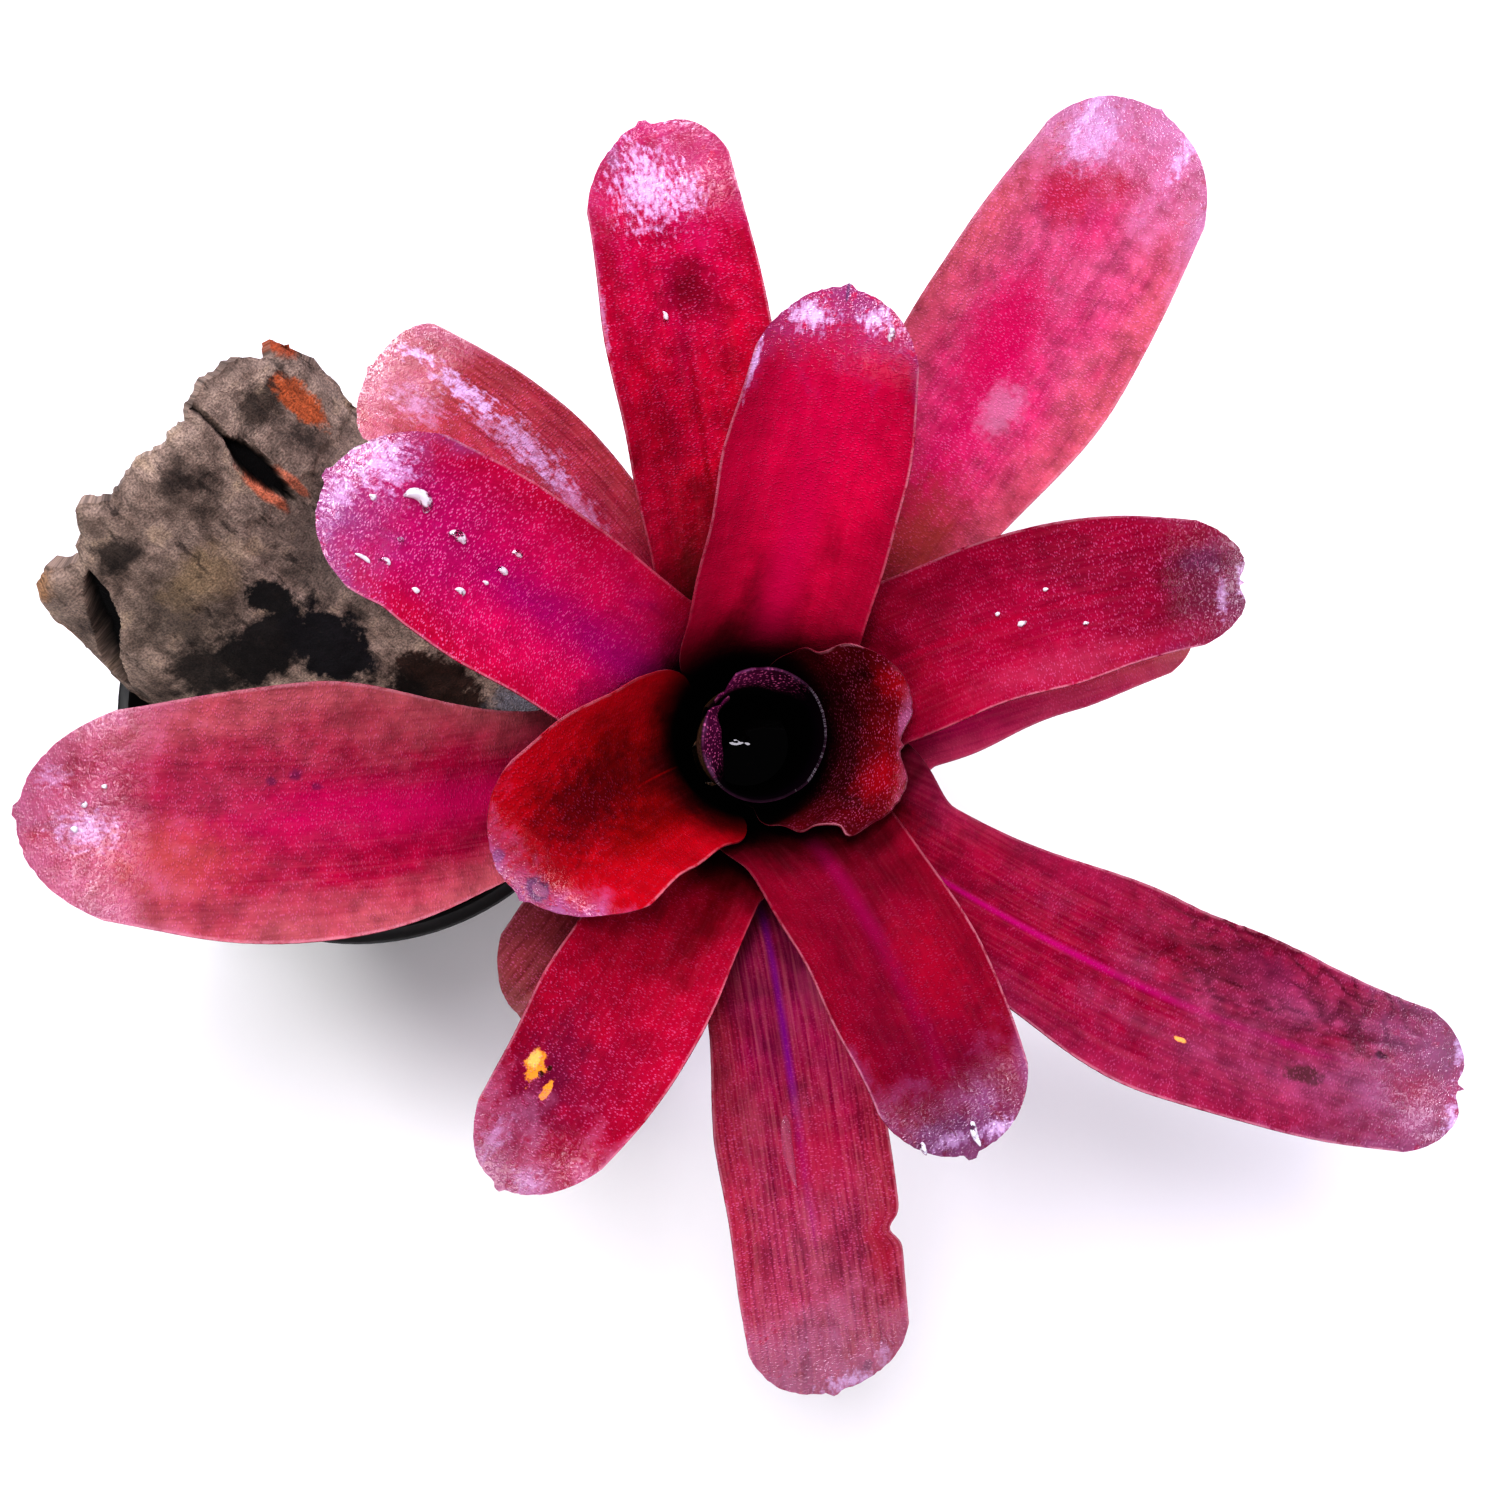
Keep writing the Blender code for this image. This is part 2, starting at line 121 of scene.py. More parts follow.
bpy.ops.mesh.primitive_plane_add(size=24)
floor = bpy.context.object
floor.name = "floor"
paper, node, shader = new_finish("white_studio_paper")
set_inputs(shader, {"Base Color": "#F4F4F4", "Roughness": 0.9})
floor.data.materials.append(paper)

for place, size, watts, tint in (
    ((-0.75, 0.55, 1.35), 0.5, 8.5, "#FFFFFF"),
    ((0.04, -0.06, 1.50), 0.34, 7.5, "#F8F4FF"),
    ((0.08, 0.95, 1.15), 0.42, 8.0, "#F0E8FF"),
    ((1.05, 0.00, 1.00), 0.35, 2.8, "#F6F0FF"),
    ((0.00, -0.95, 1.05), 0.35, 2.2, "#FFFAF6"),
):
    bpy.ops.object.light_add(type="AREA", location=place)
    lamp = bpy.context.object
    lamp.data.size = size
    lamp.data.energy = watts
    lamp.data.color = linear(tint)[:3]
    lamp.rotation_euler = (Vector(place) - CUP_CENTRE).to_track_quat("Z", "Y").to_euler()

sky = bpy.data.worlds.new("daylight")
sky.use_nodes = True
bpy.context.scene.world = sky
node = partial(add_node, sky.node_tree)
height = node("SeparateXYZ", (node("TexCoord", {}, give="Generated"),), give="Z")
glow = node("ValToRGB", (height,), stops=(
    (0.0, "#FFFFFF"), (0.35, "#F2F0F6"), (0.75, "#B4B4BC"), (1.0, "#8C8C92")))
set_inputs(sky.node_tree.nodes["Background"], {"Color": glow, "Strength": 0.42})


# The pot: a plain 14 cm nursery pot, injection moulded in black polypropylene, with a rolled rim, a
# stacking step below it and four drain holes in its base. The plant leans out over its rim.
POT_HEIGHT = 0.095
POT_RIM_RADIUS = 0.070
POT_BASE_RADIUS = 0.043
POT_WALL = 0.0016
POT_FLOOR = 0.0025
POT_LIP_OUT = 0.0025
POT_SIDES = 120
DRAIN_HOLES = 4
DRAIN_RADIUS = 0.005
DRAIN_CIRCLE = 0.028


def mix(a, b, share):
    return a + (b - a) * share


def smooth(x):
    """0 below 0, 1 above 1, and an even S between."""
    x = min(1.0, max(0.0, x))
    return x * x * (3 - 2 * x)


def select_only(*pieces):
    bpy.ops.object.select_all(action="DESELECT")
    for piece in pieces:
        piece.select_set(True)
    bpy.context.view_layer.objects.active = pieces[0]


def apply_all(piece):
    """Applies the piece's modifiers, in order."""
    select_only(piece)
    for modifier in list(piece.modifiers):
        bpy.ops.object.modifier_apply(modifier=modifier.name)


def place_piece(piece, name, slot, finish, *nodes):
    """Names and paints a finished piece, lets it ride with the plant and stand for its CAD nodes."""
    piece.name = name
    piece.data.name = name
    piece.data.materials.clear()
    piece.data.materials.append(finish)
    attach(piece, "root")
    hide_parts(*nodes)


def keep_on_points(mesh, name, values):
    """Stores a number or a vector on each vertex, for the materials to read by name."""
    kind, key = ("FLOAT", "value") if isinstance(values[0], float) else ("FLOAT_VECTOR", "vector")
    flat = values if kind == "FLOAT" else [part for value in values for part in value]
    mesh.attributes.new(name, kind, "POINT").data.foreach_set(key, flat)


def smooth_faces(piece, degrees):
    select_only(piece)
    bpy.ops.object.shade_smooth_by_angle(angle=math.radians(degrees))


def select_open_rim():
    """In edit mode, selects the edges that bound an open mesh."""
    bpy.ops.mesh.select_all(action="DESELECT")
    bpy.ops.mesh.select_mode(type="EDGE")
    bpy.ops.mesh.select_non_manifold(extend=False, use_wire=False, use_multi_face=False,
                                     use_non_contiguous=False, use_verts=False)


def face_outwards():
    """In edit mode, turns every face of a closed mesh outwards, and leaves edit mode."""
    bpy.ops.mesh.select_all(action="SELECT")
    bpy.ops.mesh.normals_make_consistent(inside=False)
    bpy.ops.object.mode_set(mode="OBJECT")


def subdivide_all(cuts, smoothness=0.0):
    """Subdivides all of the object that was just added."""
    bpy.ops.object.mode_set(mode="EDIT")
    bpy.ops.mesh.select_all(action="SELECT")
    bpy.ops.mesh.subdivide(number_cuts=cuts, smoothness=smoothness)
    bpy.ops.object.mode_set(mode="OBJECT")


def wall_radius(z):
    """Outer radius of the pot's wall at height z."""
    return mix(POT_BASE_RADIUS, POT_RIM_RADIUS - POT_LIP_OUT, z / POT_HEIGHT)


# Half the pot's section as radius and height, up the outside from the foot and down the inside
lip = wall_radius(POT_HEIGHT - 0.010)
inner = POT_RIM_RADIUS - POT_LIP_OUT - POT_WALL
pot_profile = [(POT_BASE_RADIUS - 0.0022, 0.0), (POT_BASE_RADIUS - 0.0007, 0.0006), (POT_BASE_RADIUS, 0.002)]
pot_profile += [(wall_radius(z * MM), z * MM) for z in (4, 12, 24, 40, 56, 68, 70.5)]
pot_profile += [(wall_radius(0.0715) + 0.0009, 0.0712), (wall_radius(0.078) + 0.0009, 0.078),
                (lip + 0.0007, 0.0846), (lip + POT_LIP_OUT - 0.0006, 0.085), (lip + POT_LIP_OUT, 0.0858),
                (POT_RIM_RADIUS, 0.0938), (POT_RIM_RADIUS - 0.0004, 0.0947),
                (POT_RIM_RADIUS - 0.0011, 0.095), (inner + 0.0008, 0.095), (inner, 0.0942)]
pot_profile += [(wall_radius(z * MM) - POT_WALL, z * MM) for z in (80, 60, 40, 20, 4)]
pot_profile += [(wall_radius(POT_FLOOR) - POT_WALL - 0.0014, POT_FLOOR)]
bpy.ops.mesh.primitive_circle_add(vertices=POT_SIDES, radius=pot_profile[0][0], fill_type="NGON")
pot = bpy.context.object
bpy.ops.object.mode_set(mode="EDIT")
bpy.ops.mesh.inset(thickness=0.004)
select_open_rim()
for (r, z), (r_next, z_next) in zip(pot_profile, pot_profile[1:]):
    bpy.ops.mesh.extrude_edges_move(TRANSFORM_OT_translate={"value": (0, 0, z_next - z)})
    grow = r_next / r
    bpy.ops.transform.resize(value=(grow, grow, 1))
bpy.ops.mesh.edge_face_add()
bpy.ops.mesh.inset(thickness=0.006)
face_outwards()
for i in range(DRAIN_HOLES):
    angle = 2 * math.pi * (i + 0.5) / DRAIN_HOLES
    spot = (DRAIN_CIRCLE * math.cos(angle), DRAIN_CIRCLE * math.sin(angle), 0)
    bpy.ops.mesh.primitive_cylinder_add(vertices=28, radius=DRAIN_RADIUS, depth=0.02, location=spot)
    drill = bpy.context.object
    hole = pot.modifiers.new("drain", "BOOLEAN")
    hole.operation = "DIFFERENCE"
    hole.object = drill
    apply_all(pot)
    bpy.data.objects.remove(drill, do_unlink=True)

# Injection-moulded black polypropylene: an even satin sheen, faint flow marks round the wall, and a
# little pale dust and lime where water has run, more of it towards the base.
plastic, node, shader = new_finish("moulded_black_polypropylene")
spot = node("TexCoord", {}, give="Object")
runs = node("Mapping", {0: spot, "Scale": (1, 1, 0.12)})
lime = node("TexNoise", {"Vector": runs, "Scale": 220, "Detail": 5, "Roughness": 0.7})
dust = node("TexNoise", {"Vector": spot, "Scale": 900, "Detail": 4})
low = node("SeparateXYZ", (spot,), give="Z")
low = node("MapRange", (low, 0.0, 0.06, 0.9, 0.25))
marked = node("MapRange", (lime, 0.52, 0.8))
for share in (low, 0.5):
    marked = node("Math", (marked, share), "MULTIPLY")
colour = node("Mix", (marked, "#0A0A0B", "#4A4740"))
rough = node("MapRange", (dust, 0, 1, 0.34, 0.62))
relief = node("Bump", {"Height": dust, "Strength": 0.25, "Distance": 0.0002})
set_inputs(shader, {"Base Color": colour, "Roughness": rough, "Normal": relief})
smooth_faces(pot, 40)
place_piece(pot, "nursery_pot", "pot_plastic", plastic, "pot")


# The potting mix: composted bark and fibre with a few white grains of perlite, filled loose to a
# centimetre below the rim. It carries the plant's stem and the slab of bark.
MIX_TOP = 0.083
MIX_LUMP = 0.0022
MIX_LUMPS_PER_METRE = 60
MIX_CELLS = 120
GAP = 0.0003
STEM_PLACE = Vector((0.0375, -0.033))
STEM_CLEAR = 0.011
CHIPS = 330
GRAINS = 70


def mix_point(x, y):
    """A point of the potting mix's uneven top."""
    spot = Vector((x, y, 0))
    z = MIX_TOP + MIX_LUMP * noise.noise(spot * MIX_LUMPS_PER_METRE)
    return Vector((x, y, z + 0.0007 * noise.fractal(spot * 420, 0.8, 2.1, 4)))


brim = wall_radius(MIX_TOP) - POT_WALL - 2 * GAP
bpy.ops.mesh.primitive_grid_add(x_subdivisions=MIX_CELLS, y_subdivisions=MIX_CELLS, size=2)
soil = bpy.context.object
for vertex in soil.data.vertices:
    x, y = vertex.co.x, vertex.co.y
    vertex.co = mix_point(brim * x * math.sqrt(1 - y * y / 2), brim * y * math.sqrt(1 - x * x / 2))
bpy.ops.object.mode_set(mode="EDIT")
select_open_rim()
foot = wall_radius(POT_FLOOR) - POT_WALL - 2 * GAP
bpy.ops.mesh.extrude_edges_move(TRANSFORM_OT_translate={"value": (0, 0, POT_FLOOR + 2 * GAP - MIX_TOP)})
bpy.ops.transform.resize(value=(foot / brim, foot / brim, 0), center_override=(0, 0, POT_FLOOR + 2 * GAP))
bpy.ops.mesh.edge_face_add()
face_outwards()

# Composted bark mulch: dark brown crumbs with lighter fibres, dull and rough all over.
mulch, node, shader = new_finish("composted_bark_mulch")
spot = node("TexCoord", {}, give="Object")
crumbs = node("TexVoronoi", {"Vector": spot, "Scale": 450}, give="Color")
grain = node("TexNoise", {"Vector": spot, "Scale": 700, "Detail": 6, "Roughness": 0.7})
colour = node("ValToRGB", (grain,), stops=(
    (0.3, "#17100B"), (0.5, "#33231A"), (0.62, "#5A4230"), (0.8, "#8A6E50")))
shade = node("Mix", (0.45, colour, crumbs), "MULTIPLY")
relief = node("Bump", {"Height": grain, "Strength": 0.9, "Distance": 0.0008})
set_inputs(shader, {"Base Color": shade, "Normal": relief, "Roughness": 0.95})
place_piece(soil, "potting_mix_bed", "potting_mix", mulch, "potting_mix")


def scatter(master, count, seed, sizes):
    """Copies a small shape over the mix by seeded draws, clear of the stem, as one piece."""
    draw = random.Random(seed)
    copies = []
    while len(copies) < count:
        r, angle = brim * 0.95 * math.sqrt(draw.random()), draw.uniform(0, 2 * math.pi)
        ground = mix_point(r * math.cos(angle), r * math.sin(angle))
        size = draw.uniform(*sizes)
        turn = Matrix.Rotation(draw.uniform(0, 6.28), 4, "Z")
        turn @= Matrix.Rotation(draw.uniform(-0.7, 0.7), 4, "X")
        flat = Matrix.Diagonal((size, size * draw.uniform(0.4, 0.9), size * draw.uniform(0.2, 0.45), 1))
        if (ground.xy - STEM_PLACE).length < STEM_CLEAR:
            continue
        copy = master.copy()
        copy.data = master.data.copy()
        copy.data.transform(Matrix.Translation(ground + Vector((0, 0, size * 0.12))) @ turn @ flat)
        bpy.context.collection.objects.link(copy)
        copies.append(copy)
    bpy.data.objects.remove(master, do_unlink=True)
    select_only(*copies)
    bpy.ops.object.join()
    return bpy.context.object


bpy.ops.mesh.primitive_cube_add(size=1)
chip = bpy.context.object
subdivide_all(2, 0.4)
for vertex in chip.data.vertices:
    vertex.co += Vector(noise.noise_vector(vertex.co * 1.7)) * 0.28
chips = scatter(chip, CHIPS, 5, (0.004, 0.010))
smooth_faces(chips, 30)
place_piece(chips, "bark_chips", "potting_mix", mulch)

bpy.ops.mesh.primitive_ico_sphere_add(subdivisions=2, radius=0.5)
grain_shape = bpy.context.object
for vertex in grain_shape.data.vertices:
    vertex.co *= 1 + 0.35 * noise.noise(vertex.co * 3)
# Expanded perlite: white volcanic glass foam, chalky and dull, with a little dirt on it.
perlite, node, shader = new_finish("expanded_perlite")
spot = node("TexCoord", {}, give="Object")
dirt = node("TexNoise", {"Vector": spot, "Scale": 600, "Detail": 4})
dirt = node("MapRange", (dirt, 0.45, 0.75))
colour = node("Mix", (dirt, "#D9D5CA", "#7A6A58"))
set_inputs(shader, {"Base Color": colour, "Roughness": 0.9})
grains = scatter(grain_shape, GRAINS, 11, (0.002, 0.0038))
smooth_faces(grains, 60)
place_piece(grains, "perlite_grains", "potting_mix", perlite)


# The slab of old bark: a curved piece of weathered bark or outer wood, stood in the mix behind the
# plant. Its upper end is broken off ragged, one flap has split away at the left, and a crack opens
# into a slot with orange inner wood showing in its lips.
BARK_FOOT = Vector((0.036, -0.008, 0.083))
BARK_ALONG = Vector((-0.717, 0.520, 0.750)).normalized()
BARK_ACROSS = Vector((0.697, 0.692, 0.187)).normalized()
BARK_CURVE_RADIUS = 0.075
BARK_THICKNESS = 0.0085
BARK_EDGE_SHARE = 0.55
BARK_RELIEF = 0.0022
BARK_LUMPS_ACROSS = 60
BARK_LUMPS_ALONG = 45
BARK_CELLS_ACROSS = 150
BARK_CELLS_ALONG = 190
# Across the slab from its left edge to its right, in millimetres: place, lower end, broken upper end
BARK_COLUMNS = (
    (-60, 34, 80), (-57, 28, 106), (-52, 20, 117), (-47, 14, 120), (-37, 6, 119), (-31, 0, 126),
    (-27, -3, 129), (-21, -7, 124), (-13, -11, 126), (-4, -13, 125), (6, -14, 125), (13, -10, 128),
    (20, -2, 127), (26, 6, 126), (31, 14, 119), (35, 22, 123), (38, 30, 108),
)
# Openings, in millimetres: the slot crack's place across and its ends along, and the gap beside the
# flap as a bent line of points across and along with its half width
SLOT_ACROSS = 9.5
SLOT_LOW, SLOT_HIGH = 89, 115
SLOT_HALF = 3.4
FLAP_GAP = ((-55.5, 80, 0.6), (-52, 90, 2.6), (-46, 99, 3.4), (-41, 108, 2.6), (-38, 114, 0.5))


def bark_ends(x):
    """The slab's lower and upper end at x millimetres across."""
    for (x0, low0, high0), (x1, low1, high1) in zip(BARK_COLUMNS, BARK_COLUMNS[1:]):
        if x <= x1:
            share = (x - x0) / (x1 - x0)
            return mix(low0, low1, share), mix(high0, high1, share)
    return BARK_COLUMNS[-1][1:]


def bark_point(x, a):
    """Middle of the slab at x across and a along, with its outward way; the slab was part of a round log."""
    angle = math.asin(x / BARK_CURVE_RADIUS)
    out = BARK_ALONG.cross(BARK_ACROSS).normalized()
    if out.z < 0:
        out = -out
    sunk = BARK_CURVE_RADIUS * (1 - math.cos(angle))
    spot = BARK_FOOT + BARK_ALONG * a + BARK_ACROSS * x - out * sunk
    return spot, out * math.cos(angle) + BARK_ACROSS * math.sin(angle)


def slot_half_width(a):
    """Half the slot's width at a millimetres along: a lens that is ragged at its edges."""
    share = (a - SLOT_LOW) / (SLOT_HIGH - SLOT_LOW)
    if not 0 < share < 1:
        return 0.0
    return SLOT_HALF * math.sin(math.pi * share ** 1.2) ** 0.8


def opening(x, a):
    """1 deep inside the slot or the gap beside the flap, and 0 outside them."""
    reach = slot_half_width(a)
    off = abs(x - SLOT_ACROSS - 1.2 * noise.noise((a * 0.25, 1, 1)))
    inside = (reach - off) / 0.9 if reach > 0 else -1.0
    for (x0, a0, w0), (x1, a1, w1) in zip(FLAP_GAP, FLAP_GAP[1:]):
        line = Vector((x1 - x0, a1 - a0))
        share = min(1.0, max(0.0, (Vector((x, a)) - Vector((x0, a0))).dot(line) / line.length_squared))
        off = (Vector((x, a)) - Vector((x0, a0)) - line * share).length
        inside = max(inside, (mix(w0, w1, share) + 0.5 * noise.noise((x * 0.4, a * 0.4, 0)) - off) / 0.8)
    return smooth(inside)


def sunken_plate(x, a):
    """1 where an outer plate of the bark has flaked off, below the slot, with a scalloped edge."""
    edge = 94 + 3.5 * noise.noise((x * 0.2, 5, 5)) + 1.5 * noise.noise((x * 0.6, 8, 5)) + 0.25 * min(x, 0)
    side = -8.5 + 1.8 * noise.noise((a * 0.18, 2, 7))
    return smooth((edge - a) / 0.8) * smooth((x - side) / 0.8) * smooth((a - 30) / 18)


bpy.ops.mesh.primitive_grid_add(x_subdivisions=BARK_CELLS_ACROSS, y_subdivisions=BARK_CELLS_ALONG, size=2)
slab = bpy.context.object
mesh = slab.data
first, last = BARK_COLUMNS[0][0], BARK_COLUMNS[-1][0]
thin = slab.vertex_groups.new(name="thin")
grain_places, sheet = [], []
for vertex in mesh.vertices:
    across, along = (vertex.co.x + 1) / 2, (vertex.co.y + 1) / 2
    x = mix(first, last, across)
    low, high = bark_ends(x)
    broken = abs(noise.fractal((x * 0.11, 7, 0), 0.8, 2.1, 2)) * 3.0
    broken += abs(noise.noise((x * 0.42, 2, 0))) * 1.6
    high -= broken * smooth((along - 0.7) / 0.3)
    a = mix(low, high, along)
    ragged = 1.8 * abs(noise.fractal((a * 0.13, 3, across), 0.8, 2.1, 2))
    x += ragged * smooth((0.05 - across) / 0.05) - ragged * smooth((across - 0.95) / 0.05)
    x += 1.0 * noise.noise((x * 0.15, a * 0.06, 5)) * math.sin(math.pi * across)
    spot, facing = bark_point(x * MM, a * MM)
    lump = BARK_RELIEF * noise.noise((x * MM * BARK_LUMPS_ACROSS, a * MM * BARK_LUMPS_ALONG, 3))
    vertex.co = spot + facing * lump
    sheet.append((vertex.co.copy(), facing))
    grain_places.append((x * MM, a * MM, 0))
    edge = min(across, 1 - across, (1 - along) * 1.5)
    thin.add([vertex.index], mix(BARK_EDGE_SHARE, 1.0, smooth(edge / 0.05)), "REPLACE")
keep_on_points(mesh, "grain_place", grain_places)
wood = slab.modifiers.new("wood", "SOLIDIFY")
wood.thickness = BARK_THICKNESS
wood.offset = 0
wood.vertex_group = "thin"
apply_all(slab)
bpy.ops.object.mode_set(mode="EDIT")
face_outwards()
grain_places = [tuple(kept.vector) for kept in slab.data.attributes["grain_place"].data]
moved, hollow_shade = [], []
BARK_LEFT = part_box("bark")[0][0]
for vertex, facing, (x, a, _) in zip(slab.data.vertices, slab.data.vertex_normals, grain_places):
    middle, out = sheet[vertex.index % len(sheet)]
    outer_face = smooth((vertex.co - middle).dot(out) / 0.0012)
    pores = noise.fractal((x * 700, a * 420, 2), 0.8, 2.0, 3)
    flake = noise.fractal((x * 120, a * 90, 4), 0.8, 2.1, 4)
    crack = math.exp(-((x - (SLOT_ACROSS + 0.9 * noise.noise((a * 300, 2, 2))) * MM) / 0.0005) ** 2)
    crack *= smooth((a - SLOT_HIGH * MM + 0.006) / 0.004)
    dug = opening(x * 1000, a * 1000)
    lip = smooth(dug * 3) * (1 - dug)
    depth = 0.00022 * pores + 0.0006 * flake - 0.0022 * crack * outer_face
    depth += (0.0012 * lip - 0.0058 * dug - 0.0009 * sunken_plate(x * 1000, a * 1000)) * outer_face
    depth += 0.0016 * smooth((-x * 1000 - 42) / 5) * smooth((x * 1000 + 58) / 5) * outer_face * (1 - dug)
    spot = vertex.co + facing.vector * min(depth, 0.0012)
    spot.x = max(spot.x, BARK_LEFT + 0.0004 * abs(noise.noise((a * 300, 4, 4))))
    moved.append(spot)
    # How much painted shade falls in the slot, the gap beside the flap and the crack, on the outer face
    hollow_shade.append(max(dug, 0.8 * crack) * outer_face)
for vertex, spot in zip(slab.data.vertices, moved):
    vertex.co = spot
keep_on_points(slab.data, "hollow_shade", hollow_shade)

# Weathered old bark, split and broken by hand: silver-grey and brown along the grain, blotched with
# near-black damp stains, tan where fibres are torn, and rusty orange where the inner wood is bare.
bark_skin, node, shader = new_finish("weathered_bark")
place = node("Attribute", {}, give="Vector", attribute_name="grain_place")
hollow_shade = node("Attribute", {}, give="Fac", attribute_name="hollow_shade")
grain_run = node("Mapping", {0: place, "Scale": (1, 0.35, 1)})
fibres = node("TexNoise", {"Vector": grain_run, "Scale": 420, "Detail": 6, "Roughness": 0.7})
patches = node("TexNoise", {"Vector": place, "Scale": 75, "Detail": 7, "Roughness": 0.62})
grit = node("TexNoise", {"Vector": place, "Scale": 1900, "Detail": 3})
colour = node("ValToRGB", (patches,), stops=(
    (0.32, "#453A33"), (0.43, "#7C6B60"), (0.56, "#9E8B7E"), (0.72, "#B8A28A")))
warp = node("TexNoise", {"Vector": place, "Scale": 150, "Detail": 6, "Roughness": 0.7})
# Stains and bare wood: place across and along, reach across and along in millimetres, strength, how
# soft the border is, and colour
for x, a, reach_x, reach_a, strength, soft, code in (
    (-30, 88, 12, 13, 0.75, 0.5, "#4A4038"),
    (-20, 93, 9, 6, 0.8, 0.5, "#A08A6E"),
    (6, 72, 11, 20, 0.6, 0.4, "#5E544C"),
    (-24, 68, 15, 9, 1.0, 0.22, "#1C1614"),
    (-12, 57, 8, 15, 1.0, 0.18, "#120E12"),
    (-38, 72, 8, 9, 0.9, 0.25, "#241E1A"),
    (-13, 77, 5, 6, 1.0, 0.12, "#15110F"),
    (-3, 24, 9, 15, 1.0, 0.14, "#38231A"),
    (-7, 30, 4, 9, 0.8, 0.3, "#140C0A"),
    (6, 0, 9, 10, 0.9, 0.3, "#8A8A92"),
    (21, 113, 7, 5, 0.85, 0.3, "#33281F"),
    (-30, 113, 5, 5, 0.8, 0.3, "#241D18"),
    (-8, 116, 4, 3, 0.7, 0.4, "#3A302A"),
    (-3, 106, 4, 3, 0.6, 0.4, "#4A3E36"),
    (28, 106, 3.2, 9, 1.0, 0.15, "#AE5E38"),
    (36, 119, 3, 5, 1.0, 0.2, "#9A4E30"),
    (6.2, 98, 1.7, 8, 1.0, 0.25, "#BE7458"),
    (12.8, 94, 1.2, 6, 1.0, 0.25, "#C07A60"),
    (-50, 117, 5, 3, 0.8, 0.4, "#A9805C"),
    (-57, 104, 2, 8, 0.8, 0.4, "#A07A5A"),
):
    shifted = node("Mapping", {0: place, "Location": (-x / reach_x, -a / reach_a, 0),
                               "Scale": (1000 / reach_x, 1000 / reach_a, 1)})
    far = node("VectorMath", (shifted,), "LENGTH")
    far = node("Math", (warp, 2.2, far), "MULTIPLY_ADD")
    cover = node("MapRange", (far, 2.1 + soft, 2.1 - soft, 0, strength))
    colour = node("Mix", (cover, colour, code))
pitted = node("TexNoise", {"Vector": grain_run, "Scale": 240, "Detail": 6, "Roughness": 0.72})
pitted = node("MapRange", (pitted, 0.56, 0.64, 0, 0.7))
colour = node("Mix", (pitted, colour, "#2C231E"))
speck = node("MapRange", (grit, 0.35, 0.65, 0.62, 1.3))
colour = node("Mix", (1.0, colour, speck), "MULTIPLY")
speck = node("MapRange", (fibres, 0.35, 0.65, 0.66, 1.28))
colour = node("Mix", (1.0, colour, speck), "MULTIPLY")
# Painted shade: the slot, the gap beside the flap and the crack are coloured near black
colour = node("Mix", (hollow_shade, colour, "#060505"))
height = node("Math", (fibres, grit), "ADD")
relief = node("Bump", {"Height": height, "Strength": 0.7, "Distance": 0.0006})
set_inputs(shader, {"Base Color": colour, "Normal": relief, "Roughness": 0.85})
smooth_faces(slab, 50)
place_piece(slab, "old_bark_slab", "old_bark", bark_skin, "bark")


# The stem: a short woody runner, as thick as a thumb, rooted in the mix and arched over the rim. It
# is ringed by the scars of shed scale leaves, and some dry scales still wrap it.
LEAN_RIGHT = math.radians(11)
LEAN_FRONT = math.radians(10)
STEM_ROUTE = (
    (0.0360, -0.0320, 0.0720, 0.0085),
    (0.0375, -0.0330, 0.0830, 0.0085),
    (0.0430, -0.0335, 0.0955, 0.0083),
    (0.0550, -0.0320, 0.1065, 0.0080),
    (0.0710, -0.0290, 0.1115, 0.0076),
    (0.0840, -0.0265, 0.1125, 0.0074),
)
STEM_RADIUS = 0.0055
STEM_CORE = ((-0.0860, 0.0071), (-0.0825, 0.0066), (-0.0800, STEM_RADIUS), (-0.0660, STEM_RADIUS),
             (-0.0495, 0.005))
STEM_SIDES = 40
STEM_RINGS = 150


def plant_frame():
    """The plant's own axes: Z up its axis, X to the right, the origin at the middle of the cup's lip."""
    up = Vector((math.tan(LEAN_RIGHT), -math.tan(LEAN_FRONT), 1)).normalized()
    right = (Vector((1, 0, 0)) - up * up.x).normalized()
    back = up.cross(right)
    turn = Matrix((right, back, up)).transposed().to_4x4()
    return Matrix.Translation(CUP_CENTRE) @ turn


plant = plant_frame()
stem_stops = [(Vector(stop[:3]), stop[3]) for stop in STEM_ROUTE]
stem_stops += [(plant @ Vector((0, 0, z)), radius) for z, radius in STEM_CORE]


def stem_at(share):
    """Point, radius and direction at a share of the stem's length, on a smooth curve through its stops."""
    lengths = [0.0]
    for (a, _), (b, _) in zip(stem_stops, stem_stops[1:]):
        lengths.append(lengths[-1] + (b - a).length)
    s = share * lengths[-1]
    i = max(k for k in range(len(stem_stops) - 1) if lengths[k] <= s + 1e-9)
    t = (s - lengths[i]) / (lengths[i + 1] - lengths[i])
    p = [stem_stops[min(max(k, 0), len(stem_stops) - 1)][0] for k in range(i - 1, i + 3)]
    bend = 2 * p[0] - 5 * p[1] + 4 * p[2] - p[3]
    twist = 3 * p[1] - p[0] - 3 * p[2] + p[3]
    point = 0.5 * (2 * p[1] + (p[2] - p[0]) * t + bend * t ** 2 + twist * t ** 3)
    slope = (p[2] - p[0]) + 2 * bend * t + 3 * twist * t * t
    return point, mix(stem_stops[i][1], stem_stops[i + 1][1], t), slope.normalized()


def stem_side(along):
    """Two directions across the stem, the first as near to +Y as can be."""
    side = (Vector((0, 1, 0)) - along * along.y).normalized()
    return side, along.cross(side)


